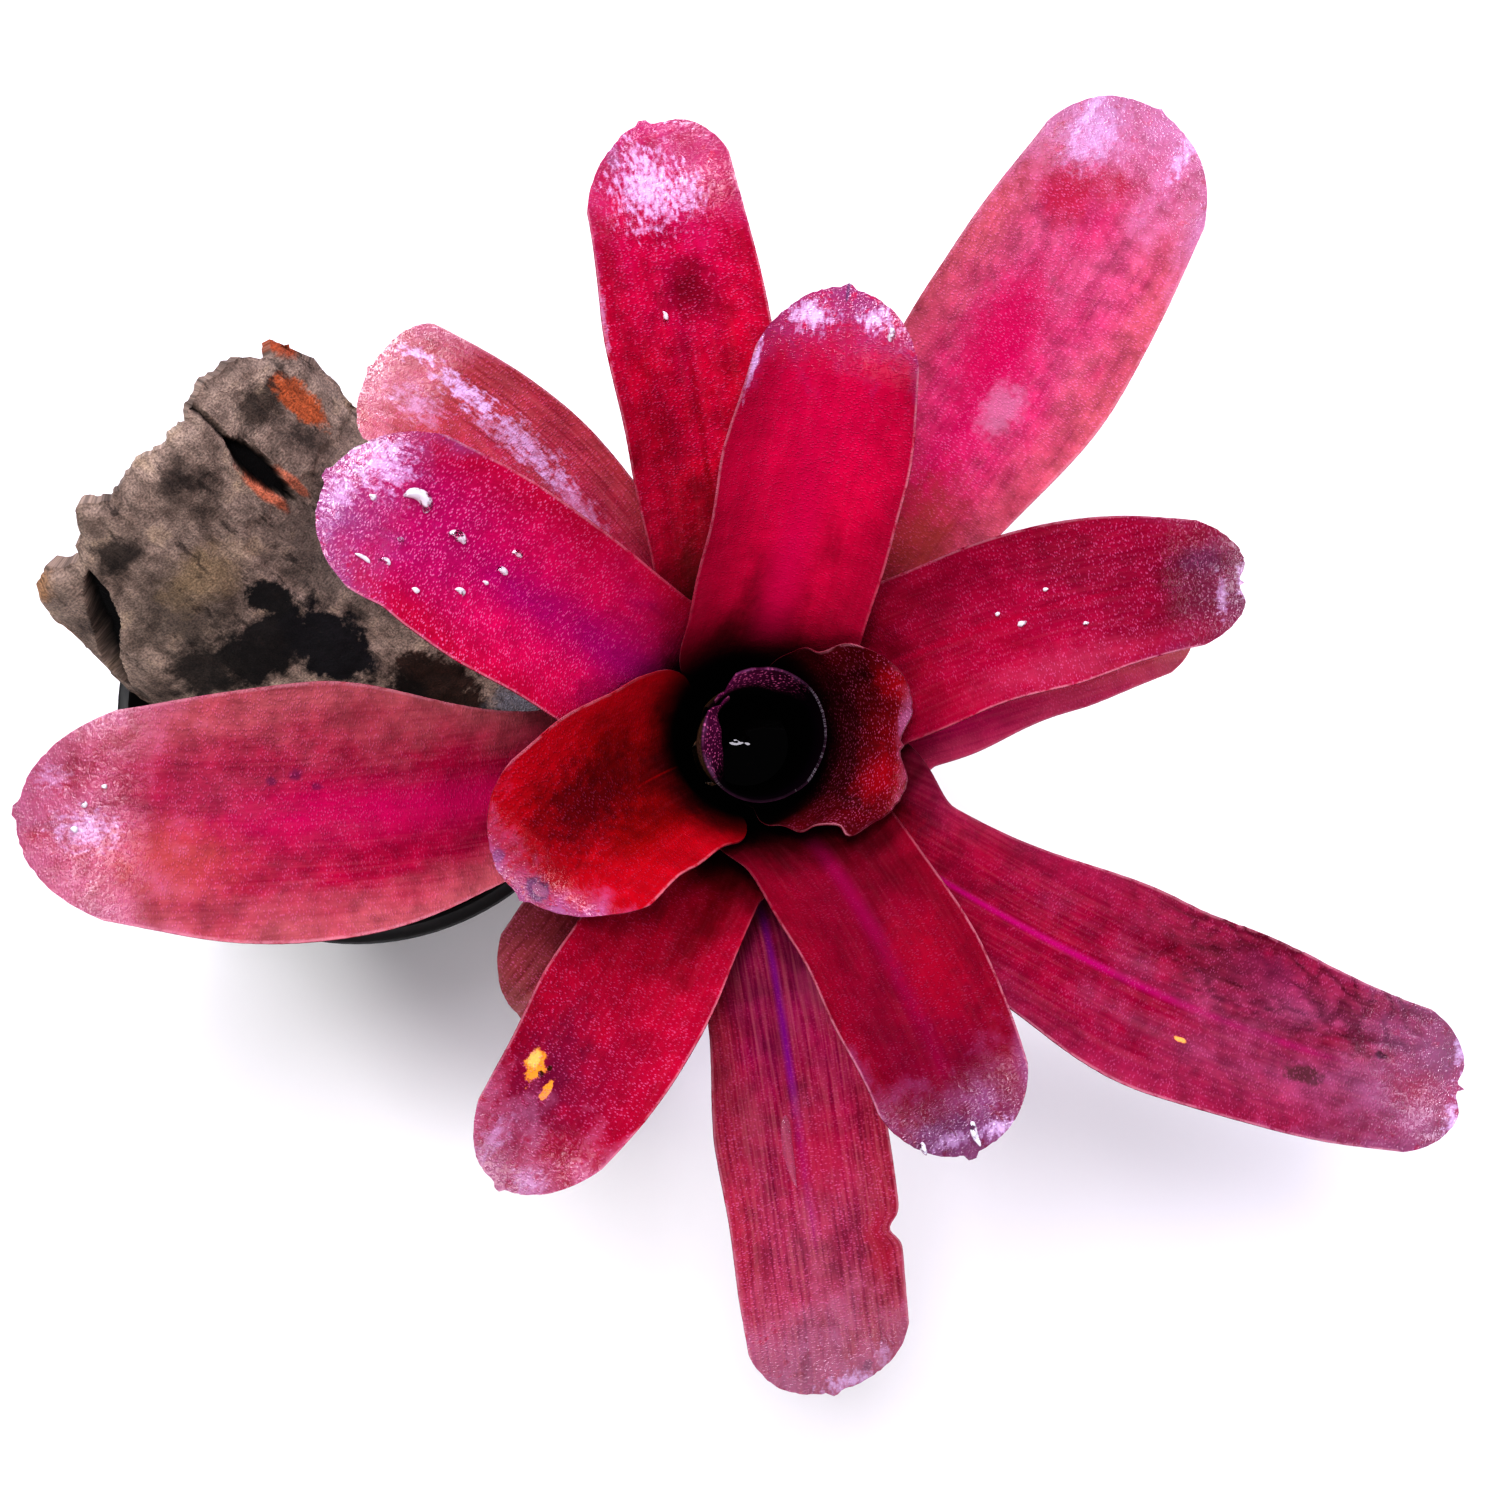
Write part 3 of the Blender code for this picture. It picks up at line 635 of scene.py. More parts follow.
bpy.ops.mesh.primitive_cylinder_add(vertices=STEM_SIDES, radius=1, depth=2, end_fill_type="TRIFAN")
stem = bpy.context.object
bpy.ops.object.mode_set(mode="EDIT")
bpy.ops.mesh.select_all(action="DESELECT")
bpy.ops.mesh.select_mode(type="EDGE")
bpy.ops.object.mode_set(mode="OBJECT")
for edge in stem.data.edges:
    a, b = (stem.data.vertices[k].co for k in edge.vertices)
    edge.select = abs(a.z - b.z) > 1
bpy.ops.object.mode_set(mode="EDIT")
bpy.ops.mesh.subdivide(number_cuts=STEM_RINGS)
bpy.ops.object.mode_set(mode="OBJECT")
stem_places = []
SCAR_SPACING = 0.0062
STEM_LENGTH = sum((b[0] - a[0]).length for a, b in zip(stem_stops, stem_stops[1:]))
for vertex in stem.data.vertices:
    x, y, z = vertex.co
    share = (z + 1) / 2
    spot, radius, along = stem_at(share)
    side, over = stem_side(along)
    s = share * STEM_LENGTH
    turn = math.atan2(y, x)
    ring = (s + 0.0009 * math.sin(turn * 2)) / SCAR_SPACING % 1
    scar = math.exp(-((ring - 0.5) / 0.09) ** 2)
    knob = noise.fractal(spot * 320, 0.8, 2.0, 3)
    radius *= 0.955 + 0.045 * scar + 0.03 * knob
    vertex.co = spot + (side * x + over * y) * radius
    stem_places.append((turn * 0.0075, s, scar))
keep_on_points(stem.data, "stem_place", stem_places)
# Living runner bark: brown and finely cracked along its length, darker in the ring scars, with a few
# greenish patches where it is young.
runner, node, shader = new_finish("woody_runner_bark")
place = node("Attribute", {}, give="Vector", attribute_name="stem_place")
scar = node("SeparateXYZ", (place,), give="Z")
spot = node("TexCoord", {}, give="Object")
grain_run = node("Mapping", {0: place, "Scale": (1, 0.2, 0)})
fibres = node("TexNoise", {"Vector": grain_run, "Scale": 1600, "Detail": 5})
blotch = node("TexNoise", {"Vector": spot, "Scale": 140, "Detail": 4})
colour = node("ValToRGB", (fibres,), stops=(
    (0.25, "#2B1C12"), (0.5, "#6A4A32"), (0.75, "#A3835F")))
colour = node("Mix", (node("MapRange", (blotch, 0.55, 0.7, 0, 0.55)), colour, "#6E6A3C"))
colour = node("Mix", (scar, colour, "#24160E"))
relief = node("Bump", {"Height": fibres, "Strength": 0.7, "Distance": 0.0005})
set_inputs(shader, {"Base Color": colour, "Normal": relief, "Roughness": 0.75})
smooth_faces(stem, 60)
place_piece(stem, "woody_runner", "woody_stem", runner, "stem")

# Dry scale leaves: the papery brown remains of the small leaves that sheathed the runner. Each is
# clasped round it at its foot, stands off at its torn end and points along it to the rosette.
SCALES = ((0.20, 0.4, 0.017), (0.30, 2.9, 0.016), (0.39, 5.2, 0.018), (0.47, 1.5, 0.016), (0.54, 3.9, 0.017),
          (0.60, 0.2, 0.015), (0.655, 2.4, 0.013))
# Dead leaf tissue, dried on the plant: tan to chestnut, papery, with darker parallel veins.
husk, node, shader = new_finish("dried_leaf_sheath")
place = node("Attribute", {}, give="Vector", attribute_name="scale_place")
grain_run = node("Mapping", {0: place, "Scale": (1, 0.06, 1)})
veins = node("TexNoise", {"Vector": grain_run, "Scale": 1500, "Detail": 4})
age = node("TexNoise", {"Vector": place, "Scale": 160, "Detail": 4})
colour = node("ValToRGB", (age,), stops=(
    (0.3, "#4E3322"), (0.5, "#8A6644"), (0.7, "#BFA077")))
veined = node("MapRange", (veins, 0.35, 0.65, 0.55, 1.1))
colour = node("Mix", (1.0, colour, veined), "MULTIPLY")
relief = node("Bump", {"Height": veins, "Strength": 0.6, "Distance": 0.0004})
set_inputs(shader, {"Base Color": colour, "Normal": relief, "Roughness": 0.7})
for count, (share, turn, length) in enumerate(SCALES):
    bpy.ops.mesh.primitive_grid_add(x_subdivisions=36, y_subdivisions=26, size=2)
    scale = bpy.context.object
    scale_places = []
    for vertex in scale.data.vertices:
        u, v = vertex.co.x, (vertex.co.y + 1) / 2
        end = (1 - 0.55 * u * u) * length * (1 - 0.22 * abs(noise.fractal((u * 5, count, 0), 0.7, 2.1, 3)))
        spot, radius, along = stem_at(share + v * end / STEM_LENGTH)
        side, over = stem_side(along)
        wrap = 2.1 - 0.7 * v
        angle = turn + u * wrap
        lift = 0.0004 + 0.0016 * v ** 2 + 0.0004 * noise.noise((u * 3, v * 3, count))
        vertex.co = spot + (side * math.cos(angle) + over * math.sin(angle)) * (radius + lift)
        scale_places.append((u * wrap * radius, v * end, count * 0.1))
    keep_on_points(scale.data, "scale_place", scale_places)
    sheet = scale.modifiers.new("sheet", "SOLIDIFY")
    sheet.thickness = 0.0003
    sheet.offset = 0
    apply_all(scale)
    smooth_faces(scale, 60)
    place_piece(scale, f"dry_scale_{count + 1:02d}", "woody_stem", husk)


# The leaves: sixteen straps of one rosette, nested by their sheaths round the stem and spread by a
# steady turn of about 137 degrees. The inner nine are young and crimson, the outer seven old and
# faded. Each is one thin blade with a blunt end, a tiny thorn and scales of silver scurf on its skin.
BULB_CENTRE = -0.045
CORE_RADIUS = 0.0078
LAYER = 0.00175
ROLL_ROOM = 0.0012
ROLL_STEP = 0.0008
FLARE = math.radians(9)
TURN_TOP = -0.012
TURN_STEP = 0.0020
SHEATH_FOOT_SHARE = 0.45
STEM_ROOM = 0.001
LEAF_THICKNESS = 0.0009
TURN_SHARE = 0.35
CHANNEL_SHARE = 0.30
WAIST_SHARE = 0.25
WIDEST_SHARE = 0.60
END_SHARE = 0.55
WAVES = 7
RAIL_STEPS = 240
LEAF_COLUMNS = 52
LEAF_ROWS = 150

Leaf = namedtuple(
    "Leaf",
    "name azimuth wrap length width waist end rise tip_rise sweep channel tip notch thorn wave",
)
Station = namedtuple("Station", "s point heading slope curve half v")
# Angles in degrees and lengths in millimetres, as the solids have them
LEAVES = (
    Leaf("rolled_centre", 315, 188, 14, 90, 1.0, 1.0, 81, 78, 0, 188, 4, 0, 0, 0.0),
    Leaf("right_inner", 355, 80, 36, 50, 1.0, 0.90, 62, 42, 0, 62, 14, 5, 0, 0.8),
    Leaf("left_inner", 201, 62, 67, 46, 1.0, 0.90, 48, 0, 35, 40, 22, 0, 1, 0.6),
    Leaf("top_inner", 84, 52, 105, 43, 0.98, 0.76, 48, 25, -1, 34, 18, 0, 1, 0.4),
    Leaf("front_right", 299, 62, 106, 39, 0.95, 0.85, 42, 12, -14, 32, 18, 0, 4, 0.4),
    Leaf("left_upper", 153, 64, 113, 43, 0.95, 0.85, 38, 12, 0, 30, 20, 0, 3, 0.4),
    Leaf("right", 30, 62, 117, 38, 1.0, 0.68, 34, 8, -31, 30, 16, 3, 0, 0.6),
    Leaf("front_left", 244, 60, 111, 38, 0.95, 0.72, 30, 0, -12, 30, 18, 0, 2, 0.6),
    Leaf("top", 102, 58, 135, 39, 0.85, 0.85, 28, 5, 2, 28, 18, 0, 3, 0.6),
    Leaf("right_long", 320, 56, 181, 44, 0.72, 0.70, 24, 0, 31, 24, 18, 3, 1, 1.5),
    Leaf("left_long", 195, 54, 157, 57, 0.60, 0.70, 20, -5, -20, 26, 26, 0, 3, 0.8),
    Leaf("top_right", 56, 52, 172, 53, 0.70, 0.80, 18, 0, 4, 22, 26, 0, 0, 0.8),
    Leaf("front_long", 276.5, 50, 140, 41, 0.85, 0.90, 14, -10, 3, 22, 18, 0, 1, 0.8),
    Leaf("left_back", 125.5, 48, 108, 37, 0.90, 0.85, 12, -5, 28, 22, 10, 0, 0, 0.6),
    Leaf("right_under", 17, 46, 104, 30, 1.25, 0.80, 8, -10, 0, 20, 16, 0, 0, 0.6),
    Leaf("front_left_under", 233, 44, 55, 36, 0.95, 0.85, 5, -15, 0, 20, 18, 0, 0, 0.6),
)


def in_metres(leaf):
    return leaf._replace(length=leaf.length * MM, width=leaf.width * MM, tip=leaf.tip * MM,
                         notch=leaf.notch * MM, thorn=leaf.thorn * MM, wave=leaf.wave * MM)


def direction(heading, slope):
    flat = math.cos(slope)
    return Vector((flat * math.cos(heading), flat * math.sin(heading), math.sin(slope)))


def blade_half_width(leaf, sheath_half, v):
    """Half the blade's width at share v of its length."""
    full = leaf.width / 2
    half = mix(sheath_half, full * leaf.waist, smooth(v / WAIST_SHARE))
    half = mix(half, full, smooth((v - WAIST_SHARE) / (WIDEST_SHARE - WAIST_SHARE)))
    return mix(half, full * leaf.end, smooth((v - WIDEST_SHARE) / (1 - WIDEST_SHARE)))


def leaf_rail(leaf, order):
    """The leaf's midline as stations: round the bulb, up the cup's wall and out along the blade."""
    radius = CORE_RADIUS + LAYER * order + (ROLL_ROOM if order else 0)
    foot_slope = math.asin((STEM_RADIUS + STEM_ROOM) / radius)
    wall_slope = math.pi / 2 - FLARE
    bulb = radius * (wall_slope - foot_slope)
    wall = (TURN_TOP - TURN_STEP * order - BULB_CENTRE - radius * math.sin(FLARE)) / math.cos(FLARE)
    wall = max(wall, 0.0)
    step = (bulb + wall + leaf.length) / RAIL_STEPS
    azimuth = math.radians(leaf.azimuth)
    reach = radius * math.sin(foot_slope)
    point = Vector((reach * math.cos(azimuth), reach * math.sin(azimuth),
                    BULB_CENTRE - radius * math.cos(foot_slope)))
    blade_curve = math.radians(leaf.channel) / (leaf.width / 2)
    stations = []
    for i in range(RAIL_STEPS + 1):
        s = i * step
        v = (s - bulb - wall) / leaf.length
        slope = min(wall_slope, foot_slope + s / radius)
        if v > 0:
            slope = mix(wall_slope, math.radians(leaf.rise), smooth(v / TURN_SHARE))
            slope += math.radians(leaf.tip_rise - leaf.rise) * v ** 1.5
        heading = azimuth + math.radians(leaf.sweep) * max(v, 0.0) ** 1.3
        sheath_curve = math.sin(max(slope, foot_slope)) / math.hypot(point.x, point.y)
        curve = sheath_curve
        half = math.radians(leaf.wrap) / sheath_curve
        if order:
            half *= mix(SHEATH_FOOT_SHARE, 1.0, smooth(s / bulb))
            curve = mix(sheath_curve, blade_curve, smooth(v / CHANNEL_SHARE))
            curve = mix(curve, blade_curve / 2, smooth((v - 0.5) / 0.5))
            half = blade_half_width(leaf, half, v) if v > 0 else half
        stations.append(Station(s, point.copy(), heading, slope, curve, half, v))
        point += direction(heading, slope) * step
    return stations


def rail_at(stations, s):
    """The station at arc length s, read between the two nearest ones."""
    end = len(stations) - 1
    place = min(max(s / stations[1].s, 0.0), end)
    i = min(int(place), end - 1)
    return Station(*(mix(a, b, place - i) for a, b in zip(stations[i], stations[i + 1])))


def leaf_point(leaf, stations, s, u):
    """Point, surface normal and station of the leaf's middle sheet, at arc length s and u across."""
    at = rail_at(stations, s)
    side = Vector((-math.sin(at.heading), math.cos(at.heading), 0))
    normal = direction(at.heading, at.slope).cross(side)
    angle = u * at.half * at.curve
    bend = 1 / at.curve
    spot = at.point + side * (math.sin(angle) * bend) + normal * ((1 - math.cos(angle)) * bend)
    facing = normal * math.cos(angle) - side * math.sin(angle)
    if leaf.channel > 180:
        return spot - facing * (ROLL_STEP * u), facing, at
    wave = leaf.wave * u * u * math.sin(WAVES * math.pi * max(at.v, 0) + leaf.azimuth + u)
    return spot + facing * (wave * smooth(at.v / CHANNEL_SHARE)), facing, at


def leaf_end(leaf, u):
    """How far short of the leaf's full length the end falls at u: a round tip, its notch and its thorn."""
    short = leaf.tip * (1 - math.sqrt(1 - (0.97 * u) ** 2))
    short += leaf.notch * math.exp(-(u / 0.25) ** 2) + 0.0009
    short += 0.0007 * abs(noise.noise((u * 9, leaf.azimuth, 0)))
    if leaf.channel > 180:
        short += 0.0030 * smooth((abs(u) - 0.84) / 0.06) * (0.6 + abs(noise.noise((u * 60, 0, 0))))
    return short - (leaf.thorn + 0.0014) * math.exp(-(u / 0.045) ** 2)


# What sets a leaf apart: low wrinkles in millimetres, how far one shoulder of its end falls short of
# the other in millimetres, and bites out of its margin, each as its place along, its side, its depth in
# millimetres and its length as a share of the blade
WRINKLES = {"right_long": 0.55, "right_inner": 0.35, "front_long": 0.34, "top_right": 0.25,
            "left_back": 0.25, "right": 0.32, "top": 0.2}
SHOULDERS = {"top": 4.0, "top_inner": 0.8, "left_upper": -1.2, "front_left": 1.5}
BITES = {
    "front_long": ((0.735, 1, 2.6, 0.018),),
    "left_upper": ((0.80, 1, 0.7, 0.03),),
    "right_long": ((0.60, 1, 0.8, 0.05),),
    "right_inner": ((0.62, -1, 3.0, 0.06), (0.80, -1, 1.6, 0.05)),
}


def leaf_folds(leaf, place, u, v):
    """Height of the skin's crinkles, and of the crumpled pleats beside one margin of a long leaf."""
    fold = noise.fractal((place[0] * 170, place[1] * 75, leaf.azimuth), 0.8, 2.0, 3)
    height = WRINKLES.get(leaf.name, 0.12) * MM * 0.5 * fold * smooth((v - 0.35) / 0.4)
    if leaf.name == "right_long":
        pleat = abs(noise.noise((place[0] * 260 + place[1] * 130, place[1] * 170 - place[0] * 40, 9)))
        reach = smooth((u + 0.1) / 0.4) * smooth((v - 0.5) / 0.12) * smooth((0.97 - v) / 0.1)
        height -= 0.0030 * max(0.0, 0.24 - pleat) * reach
    return height


def leaf_relief(leaf, place, u, v):
    """Height of all the skin's relief: the midrib groove, the folds, and an end that curls down."""
    height = -0.00022 * math.exp(-(u / 0.07) ** 2) * smooth(v / 0.2) * smooth((0.95 - v) / 0.3)
    height += 0.00005 * noise.noise((place[0] * 420, place[1] * 16, leaf.azimuth))
    height += leaf_folds(leaf, place, u, v)
    if leaf.name not in ("rolled_centre", "right_inner"):
        height -= 0.0030 * max(0.0, (v - 0.84) / 0.16) ** 2 + 0.0006 * u ** 4 * smooth((v - 0.7) / 0.3)
    if leaf.name == "rolled_centre":
        inward = 0.0024 * smooth((abs(u) - 0.42) / 0.2)
        inward += 0.0026 * smooth((-u - 0.36) / 0.16) * smooth((u + 0.9) / 0.16)
        height += inward * smooth((0.98 - v) / 0.5) * smooth((v + 0.35) / 0.4)
    return height


def make_leaf(leaf, order):
    """One blade: a grid laid along the leaf's rail, cut to its outline, and given its thickness."""
    stations = leaf_rail(leaf, order)
    total = stations[-1].s
    bpy.ops.mesh.primitive_grid_add(x_subdivisions=LEAF_COLUMNS, y_subdivisions=LEAF_ROWS, size=2)
    blade = bpy.context.object
    mesh = blade.data
    body = blade.vertex_groups.new(name="body")
    sheet, places, across, along, folds = [], [], [], [], []
    for vertex in mesh.vertices:
        u, share = vertex.co.x, (vertex.co.y + 1) / 2
        if order:
            u = math.sin(u * math.pi / 2) * 0.5 + u * 0.5
            share = 1 - (1 - share) ** 1.15
        short = leaf_end(leaf, u) + SHOULDERS.get(leaf.name, 0.0) * MM * smooth((abs(u) - 0.02) / 0.5) * u
        s = total * share - short * smooth((share - END_SHARE) / (1 - END_SHARE))
        v = rail_at(stations, s).v
        narrow = 1 - 0.005 * abs(noise.noise((s * 420, round(u), leaf.azimuth)))
        for where, side, depth, reach in BITES.get(leaf.name, ()):
            if u * side > 0:
                bite = depth * MM / (leaf.width / 2) * math.exp(-((v - where) / reach) ** 2)
                narrow -= bite * smooth(abs(u) * 1.4 - 0.4)
        spot, facing, at = leaf_point(leaf, stations, s, u * narrow)
        place = (u * at.half, s, order * 0.37)
        spot = spot + facing * leaf_relief(leaf, place, u, v)
        vertex.co = plant @ spot
        sheet.append((vertex.co.copy(), plant.to_3x3() @ facing))
        places.append(place)
        across.append(u)
        along.append(v)
        folds.append(leaf_folds(leaf, place, u, v))
        fullness = mix(1.0, 0.45, smooth((abs(u) - 0.75) / 0.25)) * mix(1.0, 0.75, smooth(v))
        body.add([vertex.index], fullness, "REPLACE")
    keep_on_points(mesh, "skin_place", places)
    keep_on_points(mesh, "across", across)
    keep_on_points(mesh, "along", along)
    # The folds' heights, for the painted light on their crests and painted shade in their creases
    keep_on_points(mesh, "fold", folds)
    thick = blade.modifiers.new("thick", "SOLIDIFY")
    thick.thickness = LEAF_THICKNESS
    thick.offset = 0
    thick.vertex_group = "body"
    apply_all(blade)
    upper = []
    for vertex in blade.data.vertices:
        spot, facing = sheet[vertex.index % len(sheet)]
        upper.append(1.0 if (vertex.co - spot).dot(facing) > 0 else 0.0)
    keep_on_points(blade.data, "upper", upper)
    smooth_faces(blade, 60)
    return blade


# A look's colours, the first being the painted shade deep in the cup, are followed by the rib's half width as
# a share of the blade, the strengths of dashes, frost, veins, blotches and gloss, and how far along the blade
# the painted shade of the cup reaches.
Look = namedtuple(
    "Look", "throat base middle outer flank tip rib rib_width dots frost veins blotch gloss dark")
LOOKS = {
    # The rolled centre leaf is near black all over, and right_inner dark maroon: painted shade deep in the
    # cup
    "rolled_centre": ("#020001", "#060103", "#08010A", "#140310", "#701F58", "#B07CA8", "#12030C", 0.01,
                      1.0, 0.8, 0.0, 0.2, 0.3, 0.35),
    "right_inner": ("#030000", "#1A0003", "#380006", "#780012", "#560010", "#A86C90", "#380006", 0.01, 0.35,
                    0.6, 0.05, 0.5, 0.3, 0.17),
    "left_inner": ("#040001", "#480008", "#860008", "#AC0020", "#A8001E", "#A0689A", "#8C000C", 0.01, 0.12,
                   0.75, 0.05, 0.5, 0.7, 0.07),
    "top_inner": ("#050002", "#780028", "#CC004C", "#C2004C", "#A4003C", "#7E3E78", "#CC0058", 0.20, 0.14,
                  0.7, 0.06, 0.3, 1.0, 0.09),
    "front_right": ("#050001", "#540014", "#78002A", "#70002E", "#82002A", "#86507A", "#860046", 0.10, 0.12,
                    0.75, 0.07, 0.5, 0.8, 0.09),
    "left_upper": ("#050002", "#8C0050", "#CC0C5E", "#AC1268", "#BC0846", "#84487C", "#A0006C", 0.25, 0.85,
                   0.7, 0.05, 0.4, 0.9, 0.05),
    "right": ("#050002", "#880028", "#9C003E", "#70042C", "#98003A", "#6A2C50", "#A4003A", 0.04, 0.42, 0.6,
              0.12, 0.5, 0.8, 0.05),
    "front_left": ("#050001", "#740018", "#A40034", "#8C0838", "#A20034", "#AC7090", "#A0002E", 0.04, 0.4,
                   0.85, 0.08, 0.6, 0.8, 0.08),
    "top": ("#050001", "#6C0A1C", "#B80036", "#B40050", "#AE003A", "#A23C78", "#8C0420", 0.04, 0.38, 0.5,
            0.10, 0.8, 1.0, 0.05),
    "right_long": ("#060002", "#88002E", "#8A0438", "#94486A", "#902048", "#8E5C80", "#AC006C", 0.04, 0.28,
                   0.6, 0.18, 0.8, 0.9, 0.03),
    "left_long": ("#080002", "#90003C", "#980A3C", "#A03A54", "#AC5860", "#A8688A", "#B8005C", 0.22, 0.32,
                  0.6, 0.2, 0.8, 1.0, 0.03),
    "top_right": ("#080002", "#8A3238", "#C0346A", "#C65E82", "#BE5C6C", "#BC80A8", "#B80058", 0.22, 0.6,
                  0.75, 0.25, 0.9, 1.0, 0.03),
    "front_long": ("#080002", "#921E5C", "#A0144C", "#A44A64", "#A82E4C", "#A66A88", "#8A1090", 0.05, 0.5,
                   0.7, 0.7, 0.8, 0.8, 0.03),
    "left_back": ("#080002", "#98103E", "#AC3450", "#B45052", "#AC404C", "#B87C94", "#B43054", 0.04, 0.5,
                  0.5, 0.5, 0.6, 1.0, 0.03),
    "right_under": ("#080002", "#CC0C70", "#C41C60", "#C0605C", "#C04068", "#C48078", "#C40070", 0.08, 0.4,
                    0.4, 0.3, 0.4, 0.4, 0.0),
    "front_left_under": ("#080002", "#843440", "#984048", "#A04A4C", "#984850", "#A06A6C", "#984048", 0.03,
                         0.6, 0.4, 0.6, 0.6, 0.4, 0.03),
}
# Single marks, such as scars, stains and bare spots: place along and across, reach along and across in
# millimetres, strength, softness of the border, and colour
MARKS = {
    # The first two red patches on right_inner are painted light, where it catches the light in the shaded cup
    "right_inner": ((0.74, -0.33, 5, 6, 0.6, 0.8, "#9C001C"), (0.84, 0.62, 5, 3.5, 0.6, 0.7, "#A0001C"),
                    (0.93, 0.20, 3, 5, 0.7, 0.4, "#9C5880")),
    "left_inner": ((0.60, -0.16, 16, 9, 0.85, 0.8, "#420008"), (0.94, 0.08, 2.5, 3.5, 0.9, 0.3, "#3E1034"),
                   (0.93, -0.45, 1.5, 1.5, 0.7, 0.3, "#5A2048")),
    "top_inner": ((0.985, 0.0, 2.5, 0.5, 0.9, 0.2, "#1E0610"), (0.985, 0.55, 1.6, 3, 0.7, 0.5, "#4E2440"),
                  (0.99, -0.45, 1.5, 4, 0.7, 0.5, "#4A203C")),
    "front_right": ((0.95, -0.25, 4, 12, 0.8, 0.5, "#4E1240"), (0.62, 0.35, 12, 6, 0.5, 0.8, "#A4002C")),
    "left_upper": ((0.952, -0.58, 2.0, 2.4, 0.9, 0.25, "#98004A"),
                   (0.945, -0.20, 1.7, 1.5, 0.8, 0.25, "#8C0044")),
    "right": ((0.90, 0.36, 5, 4, 0.6, 0.6, "#5E2048"), (0.60, -0.75, 20, 4, 0.4, 0.8, "#B04864")),
    "front_left": ((0.79, -0.35, 13, 10, 0.5, 0.7, "#5C1840"),
                   (0.767, -0.54, 4.0, 2.8, 1.0, 0.14, "#EC9C3A"),
                   (0.757, -0.60, 2.0, 1.6, 0.9, 0.3, "#FFC670"),
                   (0.797, -0.24, 2.8, 1.2, 1.0, 0.14, "#EC9C3A"),
                   (0.775, -0.42, 0.8, 0.8, 1.0, 0.2, "#40200C"),
                   (0.755, -0.36, 0.6, 0.6, 1.0, 0.2, "#40200C")),
    "top": ((0.717, -0.13, 7, 6, 0.65, 0.8, "#5C0010"), (0.50, 0.45, 10, 4, 0.3, 0.8, "#5E0618"),
            (0.20, 0.10, 14, 12, 0.6, 0.8, "#6E3028"), (0.95, 0.50, 5, 2, 0.6, 0.4, "#8A5A78"),
            (0.96, -0.45, 4, 4, 0.7, 0.4, "#A80C34")),
    "right_long": ((0.629, -0.35, 1.4, 0.6, 1.0, 0.3, "#FFB060"),
                   (0.783, -0.28, 5.0, 2.6, 0.8, 0.3, "#543034"),
                   (0.869, 0.20, 1.6, 1.1, 0.9, 0.3, "#3A1020"), (0.93, -0.10, 8, 8, 0.6, 0.7, "#A40C38"),
                   (0.985, -0.1, 4, 12, 0.75, 0.6, "#B81458"), (0.70, 0.60, 10, 5, 0.5, 0.5, "#8C3460"),
                   (0.64, 0.55, 14, 5, 0.4, 0.7, "#6C2030"), (0.12, 0.2, 16, 8, 0.5, 0.8, "#D02040")),
    "left_long": ((0.628, -0.30, 1.6, 1.3, 0.7, 0.5, "#60204C"),
                  (0.60, -0.20, 1.1, 0.9, 0.6, 0.5, "#60204C"), (0.66, -0.26, 1.3, 1.0, 0.6, 0.5, "#60204C"),
                  (0.80, 0.35, 14, 8, 0.5, 0.8, "#BE5A50"), (0.96, 0.30, 4, 4, 0.7, 0.4, "#A01830"),
                  (0.95, -0.30, 5, 3, 0.6, 0.4, "#A01838")),
    "top_right": ((0.608, 0.21, 15, 7, 0.75, 0.8, "#BE0056"), (0.821, 0.39, 9, 7, 0.75, 0.5, "#AC2040"),
                  (0.86, 0.05, 6, 5, 0.6, 0.5, "#B02844"), (0.976, -0.66, 2.4, 2.0, 0.9, 0.4, "#F0E4EC"),
                  (0.519, -0.18, 7, 5, 0.5, 0.5, "#C48CA8"), (0.91, 0.55, 10, 7, 0.6, 0.5, "#D4A8D8"),
                  (0.30, -0.2, 16, 12, 0.8, 0.8, "#8E3C34")),
    "front_long": ((0.60, 0.15, 10, 7, 0.6, 0.7, "#B81C4C"), (0.955, 0.45, 1.5, 1.3, 0.8, 0.3, "#4A1030"),
                   (0.76, 0.75, 8, 3, 0.5, 0.6, "#A81838")),
}
